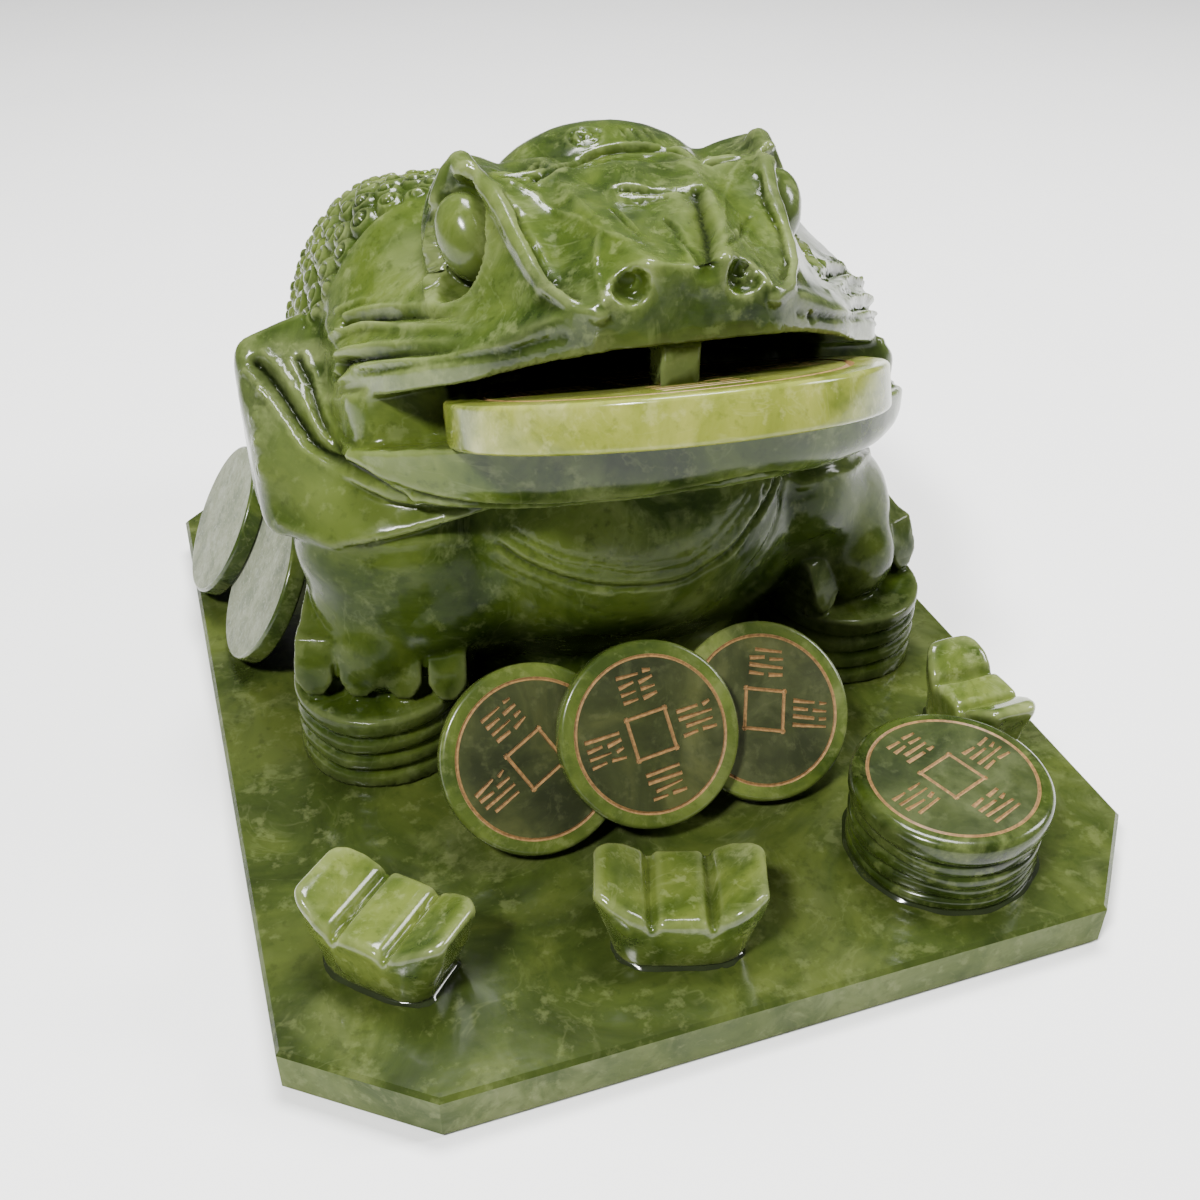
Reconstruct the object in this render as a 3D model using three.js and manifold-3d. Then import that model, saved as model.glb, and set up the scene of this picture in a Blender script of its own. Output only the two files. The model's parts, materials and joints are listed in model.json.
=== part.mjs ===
// Money toad figure: a three-legged toad carved in green stone with a coin in its
// mouth, set on a slab among coins and ingots. Millimetres, +Z up, front at -Y.
// The origin is at the middle of the slab's underside.

import * as THREE from 'three';
import { mergeVertices } from 'three/addons/utils/BufferGeometryUtils.js';
import Module from 'manifold-3d';

// Clearance between pieces that touch
const GAP = 0.3;

// Slab
const SLAB_WIDTH = 260;
const SLAB_DEPTH = 330;
const SLAB_HEIGHT = 15;
const SLAB_EDGE = 1.2;
const SLAB_FRONT_LEFT_CUT = [36, 27];
const SLAB_FRONT_RIGHT_CUT = [27, 31];
const SLAB_BACK_CUT = [30, 30];

// Toad: its carving is drawn at the drawn height, and built at the height
const DRAWN_HEIGHT = 184;
const TOAD_HEIGHT = 184;
const TOAD_LINE = 4.4;
const HEAD_LINE = 6.75;
const HEAD_TURN = -4.5;

// Faces of the toad: the grid that its form is read on, the box round it, and how many
// faces stay, which are smaller from the face's height up and forward of its rear
const GROWTH = TOAD_HEIGHT / DRAWN_HEIGHT;
const CARVE_CELL = 3.5;
const CARVE_LOW = [-111.7, -91.6, -1.9];
const CARVE_HIGH = [117, 162, 190];
const TOAD_FACES = 3100;
const FACE_CARE = 6;
const FACE_BASE = 100;
const FACE_REAR = 20;

// Eyes, as they are on the right and mirrored on the left
const EYE = [42, -15, 158];
const EYE_TURN = [0.86, -0.5, 0.08];
const EYEBALL = [9, 10, 12];
const EYE_PROUD = 1.5;

// Prop between the coin and the upper lip
const PROP_WIDTH = 12;
const PROP_HEIGHT = 16;
const PROP_PLACE = [-1, -72.5, 143];

// Hands, each turned outward in its own frame: the middle of its claws' row across and
// forward from the middle of its pile. Heights are above the pile's top
const HAND_TURN = 22;
const HAND_ROWS = { left: [-4, 17], right: [-1, 12.5] };
const HAND_HALF = [26, 14, 16];
const HAND_MIDDLE = [21, 13];
const HAND_TOP = 18.5;
const HAND_SLOPE = 0.55;

// Fingers side by side, and the cross-sections of one from the root to the claw: way back
// from the claw, height, share of its half width, and half its thickness forward and up
const FINGERS = 4;
const FINGER_WIDTH = 12;
const FINGER_STEP = 13.8;
const FINGER_RINGS = [
  [17, 11, 1, [0, 10.5]],
  [6.2, 9.5, 1, [1.2, 10.3]],
  [3.2, 5, 0.94, [2.3, 5.8]],
  [0.8, 0.9, 0.34, [1.2, 1.7]],
];

// Piles of coins, carved in the same stone as the toad's hands
const FOOT_PILE_RADIUS = 27;
const FOOT_PILE_HEIGHT = 27;
const FOOT_PILE_LAYERS = 4;
const FOOT_PILE_PLACES = { left: [-77.7, -23.5], right: [86.5, -24] };

// Coin in the mouth
const MOUTH_COIN_RADIUS = 60.8;
const MOUTH_COIN_THICKNESS = 12.4;
const MOUTH_COIN_PLACE = [1.9, -54.4, 130.3];
const MOUTH_COIN_RISE = 22.9;

// Coins that lean on the belly, each with the middle of its front face, the way it
// faces, the height it looks up to and its own turn in degrees, and its marked sides
const COIN_THICKNESS = 6.5;
const ALL_SIDES = [0, 1, 2, 3];
const STANDING_COINS = {
  left: { radius: 28.5, place: [-42.5, -80.5, 26.7], facing: 1.3, rise: 38.6, turn: 28, marks: [0, 1] },
  middle: { radius: 28.2, place: [-8.1, -85.6, 30.9], facing: 0.9, rise: 37.2, turn: 6, marks: ALL_SIDES },
  right: { radius: 28.2, place: [31.8, -79.7, 25], facing: -1.6, rise: 44.6, turn: -16, marks: [0, 3] },
};

// Coins that lean on the flanks, as they are on the left and mirrored on the right
const FLANK_COIN_RADIUS = 28.5;
const FLANK_COINS = {
  upper: { place: [-116.2, 83.6, 28.4], facing: -90, rise: 31 },
  lower: { place: [-108.4, 37.5, 28.4], facing: -90, rise: 31 },
};

// Pile of coins at the front right
const PILE_RADIUS = 29.5;
const PILE_HEIGHT = 27;
const PILE_PLACE = [70, -126.5];
const PILE_TURN = 20;
const PILE_LAYERS = 5;

// Coin edges: of the piles' top coins and of the other coins, and the groove between layers
const PILE_EDGE = 1.2;
const PILE_TOP_EDGE = 2;
const COIN_EDGE = 1;
const MOUTH_COIN_EDGE = 1.5;
const LAYER_GROOVE = 1.4;

// Ingots
const INGOT_HEIGHT = 25.5;
const INGOT_FOOT = [0.72, 0.88];
const INGOT_EDGE = 1.5;

// Stations from the middle of an ingot to one end, as shares of half the length, with the
// shares of the height and the width there: a middle lobe, a groove and a raised end
const INGOT_STATIONS = [
  [0, 0.77, 1], [0.26, 0.76, 1], [0.345, 0.63, 1], [0.42, 0.78, 0.99],
  [0.62, 0.89, 0.96], [0.82, 0.975, 0.84], [0.94, 1, 0.68], [1, 0.95, 0.54],
];
const INGOTS = {
  left: { length: 48, width: 28, place: [-95.5, -117.5], turn: -46 },
  middle: { length: 49, width: 29, place: [-17.8, -134], turn: -18.5 },
  right: { length: 42, width: 23, place: [105.5, -85.5], turn: -90 },
};

// Sides of the round pieces
const MOUTH_COIN_SIDES = 36;
const COIN_SIDES = 26;
const PLAIN_COIN_SIDES = 20;
const PILE_SIDES = 20;
const FOOT_PILE_SIDES = 18;

// Engraving, with its strokes as shares of the coin's radius
const ENGRAVE_DEPTH = 0.6;
const RING_WIDTH = 1.6;
const RING_SHARE = 0.83;
const SQUARE_SHARE = 0.22;
const LINE_WIDTH = 1.1;
const STROKE_SPREAD = 0.52;
const STROKE_LENGTHS = [0.36, 0.3, 0.38];
const STROKE_STEP = 0.13;

const { abs, min, max, hypot, sqrt, sin, cos, PI } = Math;
const radians = THREE.MathUtils.degToRad;

const wasm = await Module();
wasm.setup();

// Vectors

const sub = (a, b) => [a[0] - b[0], a[1] - b[1], a[2] - b[2]];
const add = (a, b) => [a[0] + b[0], a[1] + b[1], a[2] + b[2]];
const scale = (a, k) => [a[0] * k, a[1] * k, a[2] * k];
const dot = (a, b) => a[0] * b[0] + a[1] * b[1] + a[2] * b[2];
const cross = (a, b) => [
  a[1] * b[2] - a[2] * b[1],
  a[2] * b[0] - a[0] * b[2],
  a[0] * b[1] - a[1] * b[0],
];
const size = (a) => hypot(a[0], a[1], a[2]);
const unit = (a) => scale(a, 1 / size(a));
const clamp = (t, low, high) => min(max(t, low), high);
const mirrored = (p) => [abs(p[0]), p[1], p[2]];

// Signed distances of the carved forms: below zero inside

function ellipsoid(p, centre, radii) {
  const q = sub(p, centre);
  const k0 = hypot(q[0] / radii[0], q[1] / radii[1], q[2] / radii[2]);
  const k1 = hypot(q[0] / radii[0] ** 2, q[1] / radii[1] ** 2, q[2] / radii[2] ** 2);
  return (k0 * (k0 - 1)) / (k1 + 1e-9);
}

function roundBox([x, y, z], [rx, ry, rz], power) {
  const [a, b, c] = [abs(x) / rx + 1e-6, abs(y) / ry + 1e-6, abs(z) / rz + 1e-6];
  const [pa, pb, pc] = [a ** (power - 1), b ** (power - 1), c ** (power - 1)];
  const f = (a * pa + b * pb + c * pc) ** (1 / power);
  return ((f - 1) * f ** (power - 1)) / hypot(pa / rx, pb / ry, pc / rz);
}

function bar(p, a, b, radiusA, radiusB) {
  const ab = sub(b, a);
  const t = clamp(dot(sub(p, a), ab) / dot(ab, ab), 0, 1);
  return size(sub(sub(p, a), scale(ab, t))) - (radiusA + (radiusB - radiusA) * t);
}

function chain(p, points, radii, blend) {
  let d = Infinity;
  for (let i = 0; i + 1 < points.length; i += 1) {
    d = join(d, bar(p, points[i], points[i + 1], radii[i], radii[i + 1]), blend);
  }
  return d;
}

function block(p, centre, half, round) {
  const x = abs(p[0] - centre[0]) - half[0] + round;
  const y = abs(p[1] - centre[1]) - half[1] + round;
  const z = abs(p[2] - centre[2]) - half[2] + round;
  return hypot(max(x, 0), max(y, 0), max(z, 0)) + min(max(x, y, z), 0) - round;
}

function facet(p, a, b, c, inside) {
  let n = unit(cross(sub(b, a), sub(c, a)));
  if (dot(sub(inside, a), n) > 0) n = scale(n, -1);
  return dot(sub(p, a), n);
}

// Blended union and blended cut
function join(a, b, blend) {
  if (!Number.isFinite(a)) return b;
  const h = blend > 0 ? max(blend - abs(a - b), 0) / blend : 0;
  return min(a, b) - (h * h * blend) / 4;
}
const trim = (a, b, blend) => -join(-a, -b, blend);

// Turned frames
function turnZ(p, degrees) {
  const c = cos(radians(degrees));
  const s = sin(radians(degrees));
  return [p[0] * c + p[1] * s, -p[0] * s + p[1] * c, p[2]];
}

function axesAlong(normal) {
  const n = unit(normal);
  const x = unit(cross([0, 0, 1], n));
  return [x, cross(n, x), n];
}
const turned = (p, centre, axes) => axes.map((axis) => dot(sub(p, centre), axis));

// Mouth: the coin's tilted plane and the line of the upper lip over it
const COIN_UP = [0, sin(radians(MOUTH_COIN_RISE)), cos(radians(MOUTH_COIN_RISE))];
const COIN_FORWARD = [0, -cos(radians(MOUTH_COIN_RISE)), sin(radians(MOUTH_COIN_RISE))];
const lipHeight = (s, y) => 149 - 0.46 * (y + 81) - 4.5 * (s / 86) ** 3;

const EYE_LOOK = unit(EYE_TURN);
const EYE_AXES = axesAlong(EYE_LOOK);

function crown(p) {
  const m = mirrored(p);
  const [s, y, z] = m;
  const inside = [20, -10, 135];
  let d = trim((lipHeight(s, y) - z) * 0.9, -81 + 0.17 * (z - 152) - y, 3);
  const plan = [[24, -81], [52, -62], [73, -36], [85, -8], [87, 12], [70, 45]];
  for (let i = 0; i + 1 < plan.length; i += 1) {
    const [x0, y0] = plan[i];
    const [x1, y1] = plan[i + 1];
    const run = hypot(x1 - x0, y1 - y0);
    const wall = ((s - x0) * (y1 - y0) - (y - y0) * (x1 - x0)) / run;
    d = trim(d, wall + 0.12 * (z - 149 + 0.46 * (y0 + 81)), 5);
  }
  d = trim(d, facet(m, [19, -60, 174], [52, -58, 151], [33, -5, 176], inside), 3);
  d = trim(d, facet(m, [60, 5, 148], [84, 2, 129], [50, -60, 149], inside), 5);
  const top = 172 + 0.2 * min(s, 30) + 0.03 * (y + 60) - 0.6 * max(y + 4, 0);
  d = trim(d, (z - top) * 0.85, 2);
  return trim(d, y - 40, 10);
}

function forehead(p) {
  const brow = ellipsoid(p, [0, -16, 157], [25, 26, 21]);
  return join(brow, ellipsoid(p, [0, 9, 157], [36, 25, 25]), 1.5);
}

function browLine(m) {
  const points = [
    [39, 4, 173], [36, -20, 173], [35, -37, 169], [34, -52, 164], [30, -66, 160], [23, -79, 158],
  ];
  return chain(m, points, [5, 5, 4.5, 4, 3.5, 2.5], 0);
}

function head(p) {
  const m = mirrored(p);
  let d = join(crown(p), forehead(p), 3);
  d = join(d, browLine(m), 7);
  d = join(d, ellipsoid(m, add(EYE, [-8, 5, 1]), [21, 23, 22]), 5);
  const socket = turned(m, add(EYE, scale(EYE_LOOK, 8)), EYE_AXES);
  d = trim(d, -ellipsoid(socket, [0, 0, 0], [16, 21, 15]), 1.5);
  const nostril = [14.6, -78, 168];
  return trim(d, 5 - size(sub(m, nostril)), 1);
}

function jaw(p) {
  const [s, y, z] = mirrored(p);
  const outline = (half, depth) => roundBox([p[0] - 1.5, y - 6, 0], [half, depth, 1], 2.6);
  const floor = 97 - 0.17 * (y + 61) - z;
  const rest = dot(sub(p, MOUTH_COIN_PLACE), COIN_UP) + MOUTH_COIN_THICKNESS;
  const lip = trim(trim(trim(outline(92.5, 73), floor, 10), y - 40, 8), rest, 3);
  let corner = trim(outline(88.5, 70), floor, 10);
  corner = trim(corner, -36 + 0.35 * (z - 103) - y, 8);
  corner = trim(corner, (z - lipHeight(s, y) - 2) * 0.9, 2);
  return join(lip, trim(corner, y - 40, 8), 6);
}

// Room in the mouth: round the coin's back, open at the front, up to the lip
function mouth(p) {
  const q = sub(p, MOUTH_COIN_PLACE);
  const across = q[0];
  const along = dot(q, COIN_FORWARD);
  const side = along > 0 ? abs(across) : hypot(across, along);
  const vault = clamp((55 - hypot(across, along)) * 0.25, 0, 4);
  const ceiling = (p[2] - lipHeight(abs(p[0]), p[1]) - vault) * 0.85;
  const rest = -(dot(q, COIN_UP) + MOUTH_COIN_THICKNESS);
  return max(side - (MOUTH_COIN_RADIUS + 1.5), ceiling, rest);
}

// Back, with its top falling to the rear
const BACK_FALL = radians(22);
const BACK_AXES = [[1, 0, 0], [0, cos(BACK_FALL), -sin(BACK_FALL)], [0, sin(BACK_FALL), cos(BACK_FALL)]];

function back(p) {
  const q = turned(p, [0, 52, 73], BACK_AXES);
  const rear = p[1] - 40;
  q[0] *= 1 + (0.0019 * (sqrt(rear * rear + 200) + rear)) / 2;
  const side = abs(p[0]) * 0.922 + p[2] * 0.388 - 128.3;
  return trim(roundBox(q, [96, 84, 88], 3) * 0.9, side, 16);
}

function torso(p) {
  let d = join(ellipsoid(p, [0, 14, 69], [76, 76, 58]), back(p), 12);
  d = join(d, ellipsoid(p, [0, 90, 34], [81, 60, 44]), 15);
  d = join(d, ellipsoid(p, [0, 28, 12], [60, 76, 34]), 12);
  return join(d, bar(p, [-78, -14, 71], [-62, -26, 55], 24, 22), 12);
}

function hindLeg(p) {
  const thigh = ellipsoid(p, [0, 112, 35], [40, 34, 42]);
  return join(thigh, ellipsoid(p, [0, 138, 9], [26, 20, 12]), 6);
}

// Upper arm: a broad plate from the chest out to the raised elbow
const ELBOW = [112.7, 29, 116];
const ARM_LOW = [105.3, -16.6, 77];
const ARM_FRONT = [84.3, -43.3, 84];
const ARM_CHEST = [42.6, -61.7, 98];

function upperArm(p, side) {
  const right = side > 0;
  const m = [side * p[0] + (right ? 18 : 0), p[1], p[2] + (right ? 6 : 0)];
  const inside = [90, 0, 95];
  let d = facet(m, ELBOW, ARM_LOW, ARM_FRONT, inside);
  d = trim(d, facet(m, ARM_LOW, ARM_FRONT, [80, 10, 75], inside), 3);
  d = trim(d, facet(m, ARM_FRONT, ARM_CHEST, [64, -56, 110], inside), 5);
  d = trim(d, facet(m, [112.7, 27, 116], [92, 27, 123], [74, -26, 98], inside), 8);
  d = trim(d, facet(m, ARM_FRONT, ARM_CHEST, [60, 0, 80], inside), 3);
  d = trim(d, m[0] - 109.5, 6);
  d = trim(d, m[1] - 34, 6);
  return trim(d, facet(m, ARM_CHEST, [40, -60, 85], [20, 0, 90], inside), 5);
}

function foreArm(p, side, place) {
  const m = [side * p[0], p[1], p[2]];
  const at = (x, y, z) => [side * place[0] + x, place[1] + y, z];
  const elbow = [side > 0 ? 68 : 78, 0, 71];
  let d = chain(m, [elbow, at(-4, 10, 54), at(-2, 0, 40)], [19, 20, 19], 6);
  d = join(d, chain(m, [[60, -20, 70], [52, -14, 45]], [26, 20], 6), 14);
  const [across, forward] = side > 0 ? HAND_ROWS.right : HAND_ROWS.left;
  const q = turnZ(sub(m, at(0, 0, FOOT_PILE_HEIGHT / GROWTH)), HAND_TURN);
  const [back, middle] = HAND_MIDDLE;
  const palm = block(q, [across, back - forward, middle], HAND_HALF, 3);
  const slope = q[2] - HAND_TOP - HAND_SLOPE * (q[1] + forward - 5);
  return join(d, trim(palm, slope / hypot(1, HAND_SLOPE), 2), 3);
}

const toHead = (p) => turnZ(sub(p, [HEAD_LINE, 0, 0]), HEAD_TURN);
const toBody = (p) => sub(p, [TOAD_LINE, 0, 0]);

// The whole toad: a form is left out where it is far from the point
function toad(p) {
  const h = toHead(p);
  const b = toBody(p);
  const upper = p[2] > 84 && p[1] < 56;
  let d = torso(b);
  if (upper) {
    const room = mouth(h);
    d = join(max(join(head(h), jaw(h), 2), -room), max(d, -room), 4);
  }
  for (const [name, place] of Object.entries(FOOT_PILE_PLACES)) {
    const side = name === 'left' ? -1 : 1;
    if (side * p[0] > 16 && p[1] < 60) {
      d = join(d, upperArm(b, side), 2.5);
      d = join(d, foreArm(p, side, place), 4);
      const middle = FOOT_PILE_HEIGHT / 2;
      d = join(d, max(hypot(p[0] - place[0], p[1] - place[1]) - 20, abs(p[2] - middle) - 12), 0);
    }
  }
  if (p[1] > 55) d = join(d, hindLeg(b), 5);
  return max(d, -p[2]);
}

// Closed surface of a form: the grid's cubes are cut in six tetrahedra each

const CORNERS = [0, 1, 2, 3, 4, 5, 6, 7].map((c) => [c & 1, (c >> 1) & 1, c >> 2]);
const PATHS = [[1, 3], [1, 5], [2, 3], [2, 6], [4, 5], [4, 6]];

function surface(form, low, high, cell) {
  const count = low.map((value, i) => Math.ceil((high[i] - value) / cell) + 1);
  const index = (i, j, k) => (k * count[1] + j) * count[0] + i;
  const point = (n) => {
    const i = n % count[0];
    const j = Math.floor(n / count[0]) % count[1];
    const k = Math.floor(n / count[0] / count[1]);
    return [low[0] + i * cell, low[1] + j * cell, low[2] + k * cell];
  };
  const values = new Float64Array(count[0] * count[1] * count[2]);
  const group = 4;
  for (let k = 0; k < count[2]; k += group) {
    for (let j = 0; j < count[1]; j += group) {
      for (let i = 0; i < count[0]; i += group) {
        const middle = [i, j, k].map((n, axis) => low[axis] + (n + group / 2) * cell);
        const far = form(middle);
        const near = abs(far) < 1.6 * group * cell;
        for (let c = k; c < min(k + group, count[2]); c += 1) {
          for (let b = j; b < min(j + group, count[1]); b += 1) {
            for (let a = i; a < min(i + group, count[0]); a += 1) {
              const n = index(a, b, c);
              values[n] = (near ? form(point(n)) : far) || 1e-6;
            }
          }
        }
      }
    }
  }
  const points = [];
  const faces = [];
  const known = new Map();
  const crossing = (a, b) => {
    const key = min(a, b) * values.length + max(a, b);
    if (!known.has(key)) {
      const t = clamp(values[a] / (values[a] - values[b]), 0.12, 0.88);
      const pa = point(a);
      known.set(key, points.length);
      points.push(add(pa, scale(sub(point(b), pa), t)));
    }
    return known.get(key);
  };
  const face = (a, b, c, within) => {
    const [pa, pb, pc] = [points[a], points[b], points[c]];
    const out = dot(cross(sub(pb, pa), sub(pc, pa)), sub(pa, within)) > 0;
    faces.push(out ? [a, b, c] : [a, c, b]);
  };
  const tetrahedron = (corners) => {
    const solid = corners.filter((n) => values[n] < 0);
    const empty = corners.filter((n) => values[n] >= 0);
    if (!solid.length || !empty.length) return;
    const within = scale(solid.map(point).reduce(add), 1 / solid.length);
    if (solid.length === 2) {
      const [a, b] = solid;
      const [c, d] = empty;
      const ring = [crossing(a, c), crossing(a, d), crossing(b, d), crossing(b, c)];
      face(ring[0], ring[1], ring[2], within);
      face(ring[0], ring[2], ring[3], within);
    } else {
      const one = solid.length === 1;
      const cuts = (one ? empty : solid).map((n) => crossing(n, (one ? solid : empty)[0]));
      face(...cuts, within);
    }
  };
  for (let k = 0; k + 1 < count[2]; k += 1) {
    for (let j = 0; j + 1 < count[1]; j += 1) {
      for (let i = 0; i + 1 < count[0]; i += 1) {
        const cube = CORNERS.map(([a, b, c]) => index(i + a, j + b, k + c));
        const inside = cube.filter((n) => values[n] < 0).length;
        if (inside === 0 || inside === 8) continue;
        PATHS.forEach(([a, b]) => tetrahedron([cube[0], cube[a], cube[b], cube[7]]));
      }
    }
  }
  return { points, faces };
}

// Evener triangles: each point moves to the middle of its neighbours, and back onto the form
function relaxed({ points, faces }, form, cell) {
  const near = points.map(() => new Set());
  for (const face of faces) {
    face.forEach((v) => face.filter((u) => u !== v).forEach((u) => near[v].add(u)));
  }
  const steps = [[1, -1, -1], [-1, -1, 1], [-1, 1, -1], [1, 1, 1]];
  const settled = (p) => {
    const values = steps.map((step) => form(add(p, scale(step, 0.2))));
    const slope = steps.map((step, i) => scale(step, values[i])).reduce(add);
    const middle = (values[0] + values[1] + values[2] + values[3]) / 4;
    const steep = dot(slope, slope) / 0.64;
    const move = scale(slope, clamp(-middle / max(steep, 0.2), -cell / 2, cell / 2) / 0.8);
    return add(p, move);
  };
  let list = points;
  for (let turn = 0; turn < 2; turn += 1) {
    const middles = list.map((p, v) => {
      const sum = [...near[v]].map((u) => list[u]).reduce(add);
      return add(scale(p, 0.4), scale(sum, 0.6 / near[v].size));
    });
    list = middles.map(settled);
  }
  return { points: list, faces };
}

// Fewer and larger faces: the edges that change the surface least are drawn in first

function planeQuadric(n, d, weight) {
  const [a, b, c] = n;
  return [a * a, a * b, a * c, a * d, b * b, b * c, b * d, c * c, c * d, d * d].map((v) => v * weight);
}

function quadricAt(q, p) {
  const [x, y, z] = p;
  const square = q[0] * x * x + q[4] * y * y + q[7] * z * z;
  const mixed = q[1] * x * y + q[2] * x * z + q[5] * y * z;
  return square + 2 * (mixed + q[3] * x + q[6] * y + q[8] * z) + q[9];
}

function quadricLow(q, a, b) {
  const rows = [[q[0], q[1], q[2]], [q[1], q[4], q[5]], [q[2], q[5], q[7]]];
  const volume = dot(rows[0], cross(rows[1], rows[2]));
  const middle = scale(add(a, b), 0.5);
  const trace = q[0] + q[4] + q[7];
  if (abs(volume) < 1e-4 * trace ** 3) return middle;
  const right = [-q[3], -q[6], -q[8]];
  const solved = [0, 1, 2].map((i) => {
    const columns = [0, 1, 2].map((j) => (i === j ? right : rows.map((row) => row[j])));
    return dot(columns[0], cross(columns[1], columns[2])) / volume;
  });
  return size(sub(solved, middle)) < 2 * size(sub(a, b)) ? solved : middle;
}

class Queue {
  constructor() {
    this.items = [];
  }

  push(item) {
    const list = this.items;
    let i = list.push(item) - 1;
    while (i > 0 && list[(i - 1) >> 1].cost > list[i].cost) {
      const parent = (i - 1) >> 1;
      [list[i], list[parent]] = [list[parent], list[i]];
      i = parent;
    }
  }

  pop() {
    const list = this.items;
    const first = list[0];
    const last = list.pop();
    if (!list.length) return first;
    list[0] = last;
    for (let i = 0, child = 1; child < list.length; child = 2 * i + 1) {
      if (child + 1 < list.length && list[child + 1].cost < list[child].cost) child += 1;
      if (list[child].cost >= list[i].cost) break;
      [list[i], list[child]] = [list[child], list[i]];
      i = child;
    }
    return first;
  }
}

function coarser({ points, faces }, target, care) {
  const quadrics = points.map(() => new Array(10).fill(0));
  const around = points.map(() => new Set());
  const stamps = new Array(points.length).fill(0);
  const queue = new Queue();
  let alive = faces.length;

  faces.forEach((face, i) => {
    const [a, b, c] = face.map((v) => points[v]);
    const normal = cross(sub(b, a), sub(c, a));
    const area = size(normal);
    if (area > 0) {
      const n = scale(normal, 1 / area);
      const q = planeQuadric(n, -dot(n, a), area);
      face.forEach((v) => q.forEach((value, k) => { quadrics[v][k] += value; }));
    }
    face.forEach((v) => around[v].add(i));
  });
  const neighbours = (v) => {
    const set = new Set();
    around[v].forEach((i) => faces[i].forEach((u) => { if (u !== v) set.add(u); }));
    return set;
  };
  const propose = (a, b) => {
    const q = quadrics[a].map((value, k) => value + quadrics[b][k]);
    const place = quadricLow(q, points[a], points[b]);
    const length = size(sub(points[a], points[b]));
    const cost = (max(quadricAt(q, place), 0) + 1e-3 * length ** 4) * care(place);
    queue.push({ cost, a, b, place, stamp: stamps[a] + stamps[b] });
  };
  const keepsShape = (v, other, place) => {
    for (const i of around[v]) {
      if (faces[i].includes(other)) continue;
      const old = faces[i].map((u) => points[u]);
      const now = faces[i].map((u, k) => (u === v ? place : old[k]));
      const before = cross(sub(old[1], old[0]), sub(old[2], old[0]));
      const after = cross(sub(now[1], now[0]), sub(now[2], now[0]));
      const edges = (p) => [0, 1, 2].reduce((sum, k) => sum + size(sub(p[k], p[(k + 1) % 3])) ** 2, 0);
      const fullness = size(before) / edges(old);
      if (size(after) < min(0.06, fullness) * edges(now)) return false;
      if (fullness > 0.03 && dot(before, after) < 0.5 * size(before) * size(after)) return false;
    }
    return true;
  };

  for (const [a, b, c] of faces) {
    [[a, b], [b, c], [c, a]].filter(([u, v]) => u < v).forEach(([u, v]) => propose(u, v));
  }
  while (alive > target && queue.items.length) {
    const { a, b, place, stamp } = queue.pop();
    if (!around[a].size || !around[b].size || stamp !== stamps[a] + stamps[b]) continue;
    const near = neighbours(a);
    if (!near.has(b)) continue;
    const shared = [...neighbours(b)].filter((v) => near.has(v));
    if (shared.length !== 2 || !keepsShape(a, b, place) || !keepsShape(b, a, place)) continue;
    points[a] = place;
    quadrics[a] = quadrics[a].map((value, k) => value + quadrics[b][k]);
    for (const i of around[b]) {
      if (faces[i].includes(a)) {
        faces[i].forEach((v) => { if (v !== b) around[v].delete(i); });
        faces[i] = null;
        alive -= 1;
      } else {
        faces[i] = faces[i].map((v) => (v === b ? a : v));
        around[a].add(i);
      }
    }
    around[b].clear();
    stamps[a] += 1;
    neighbours(a).forEach((v) => propose(a, v));
  }
  return { points, faces: faces.filter(Boolean) };
}

// Meshes and solids

function toSolid(geometry) {
  const bare = geometry.clone();
  bare.deleteAttribute('normal');
  bare.deleteAttribute('uv');
  const merged = mergeVertices(bare, 1e-4);
  const position = merged.getAttribute('position');
  return new wasm.Manifold(new wasm.Mesh({
    numProp: 3,
    vertProperties: new Float32Array(position.array),
    triVerts: new Uint32Array(merged.getIndex().array),
  }));
}

function toGeometry(solid) {
  const mesh = solid.getMesh();
  const geometry = new THREE.BufferGeometry();
  const points = new Float32Array(mesh.vertProperties);
  geometry.setAttribute('position', new THREE.BufferAttribute(points, 3));
  geometry.setIndex(new THREE.BufferAttribute(new Uint32Array(mesh.triVerts), 1));
  return geometry;
}

function carvedGeometry({ points, faces }, place = (p) => p) {
  const geometry = new THREE.BufferGeometry();
  const used = new Map();
  const list = [];
  const numbers = faces.flat().map((v) => {
    if (!used.has(v)) {
      used.set(v, used.size);
      list.push(...place(points[v]));
    }
    return used.get(v);
  });
  geometry.setAttribute('position', new THREE.BufferAttribute(new Float32Array(list), 3));
  geometry.setIndex(numbers);
  return geometry;
}

const joined = (solids) => solids.reduce((sum, solid) => sum.add(solid));
const movedSolid = (geometry, matrix) => toSolid(geometry.clone().applyMatrix4(matrix));

// A disc or pile turned about Z, from a profile of radius and height
function lathe(profile, sides) {
  const points = profile.map(([radius, height]) => new THREE.Vector2(radius, height));
  return new THREE.LatheGeometry(points, sides).rotateX(PI / 2);
}

// Coins

// Profile of an engraved top face, from the rim to the middle
function facedTop(radius, height, edge) {
  const ring = radius * RING_SHARE;
  return [
    [radius, height - edge],
    [radius - edge, height],
    [ring + RING_WIDTH / 2, height],
    [ring, height - ENGRAVE_DEPTH],
    [ring - RING_WIDTH / 2, height],
    [0, height],
  ];
}

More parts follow.
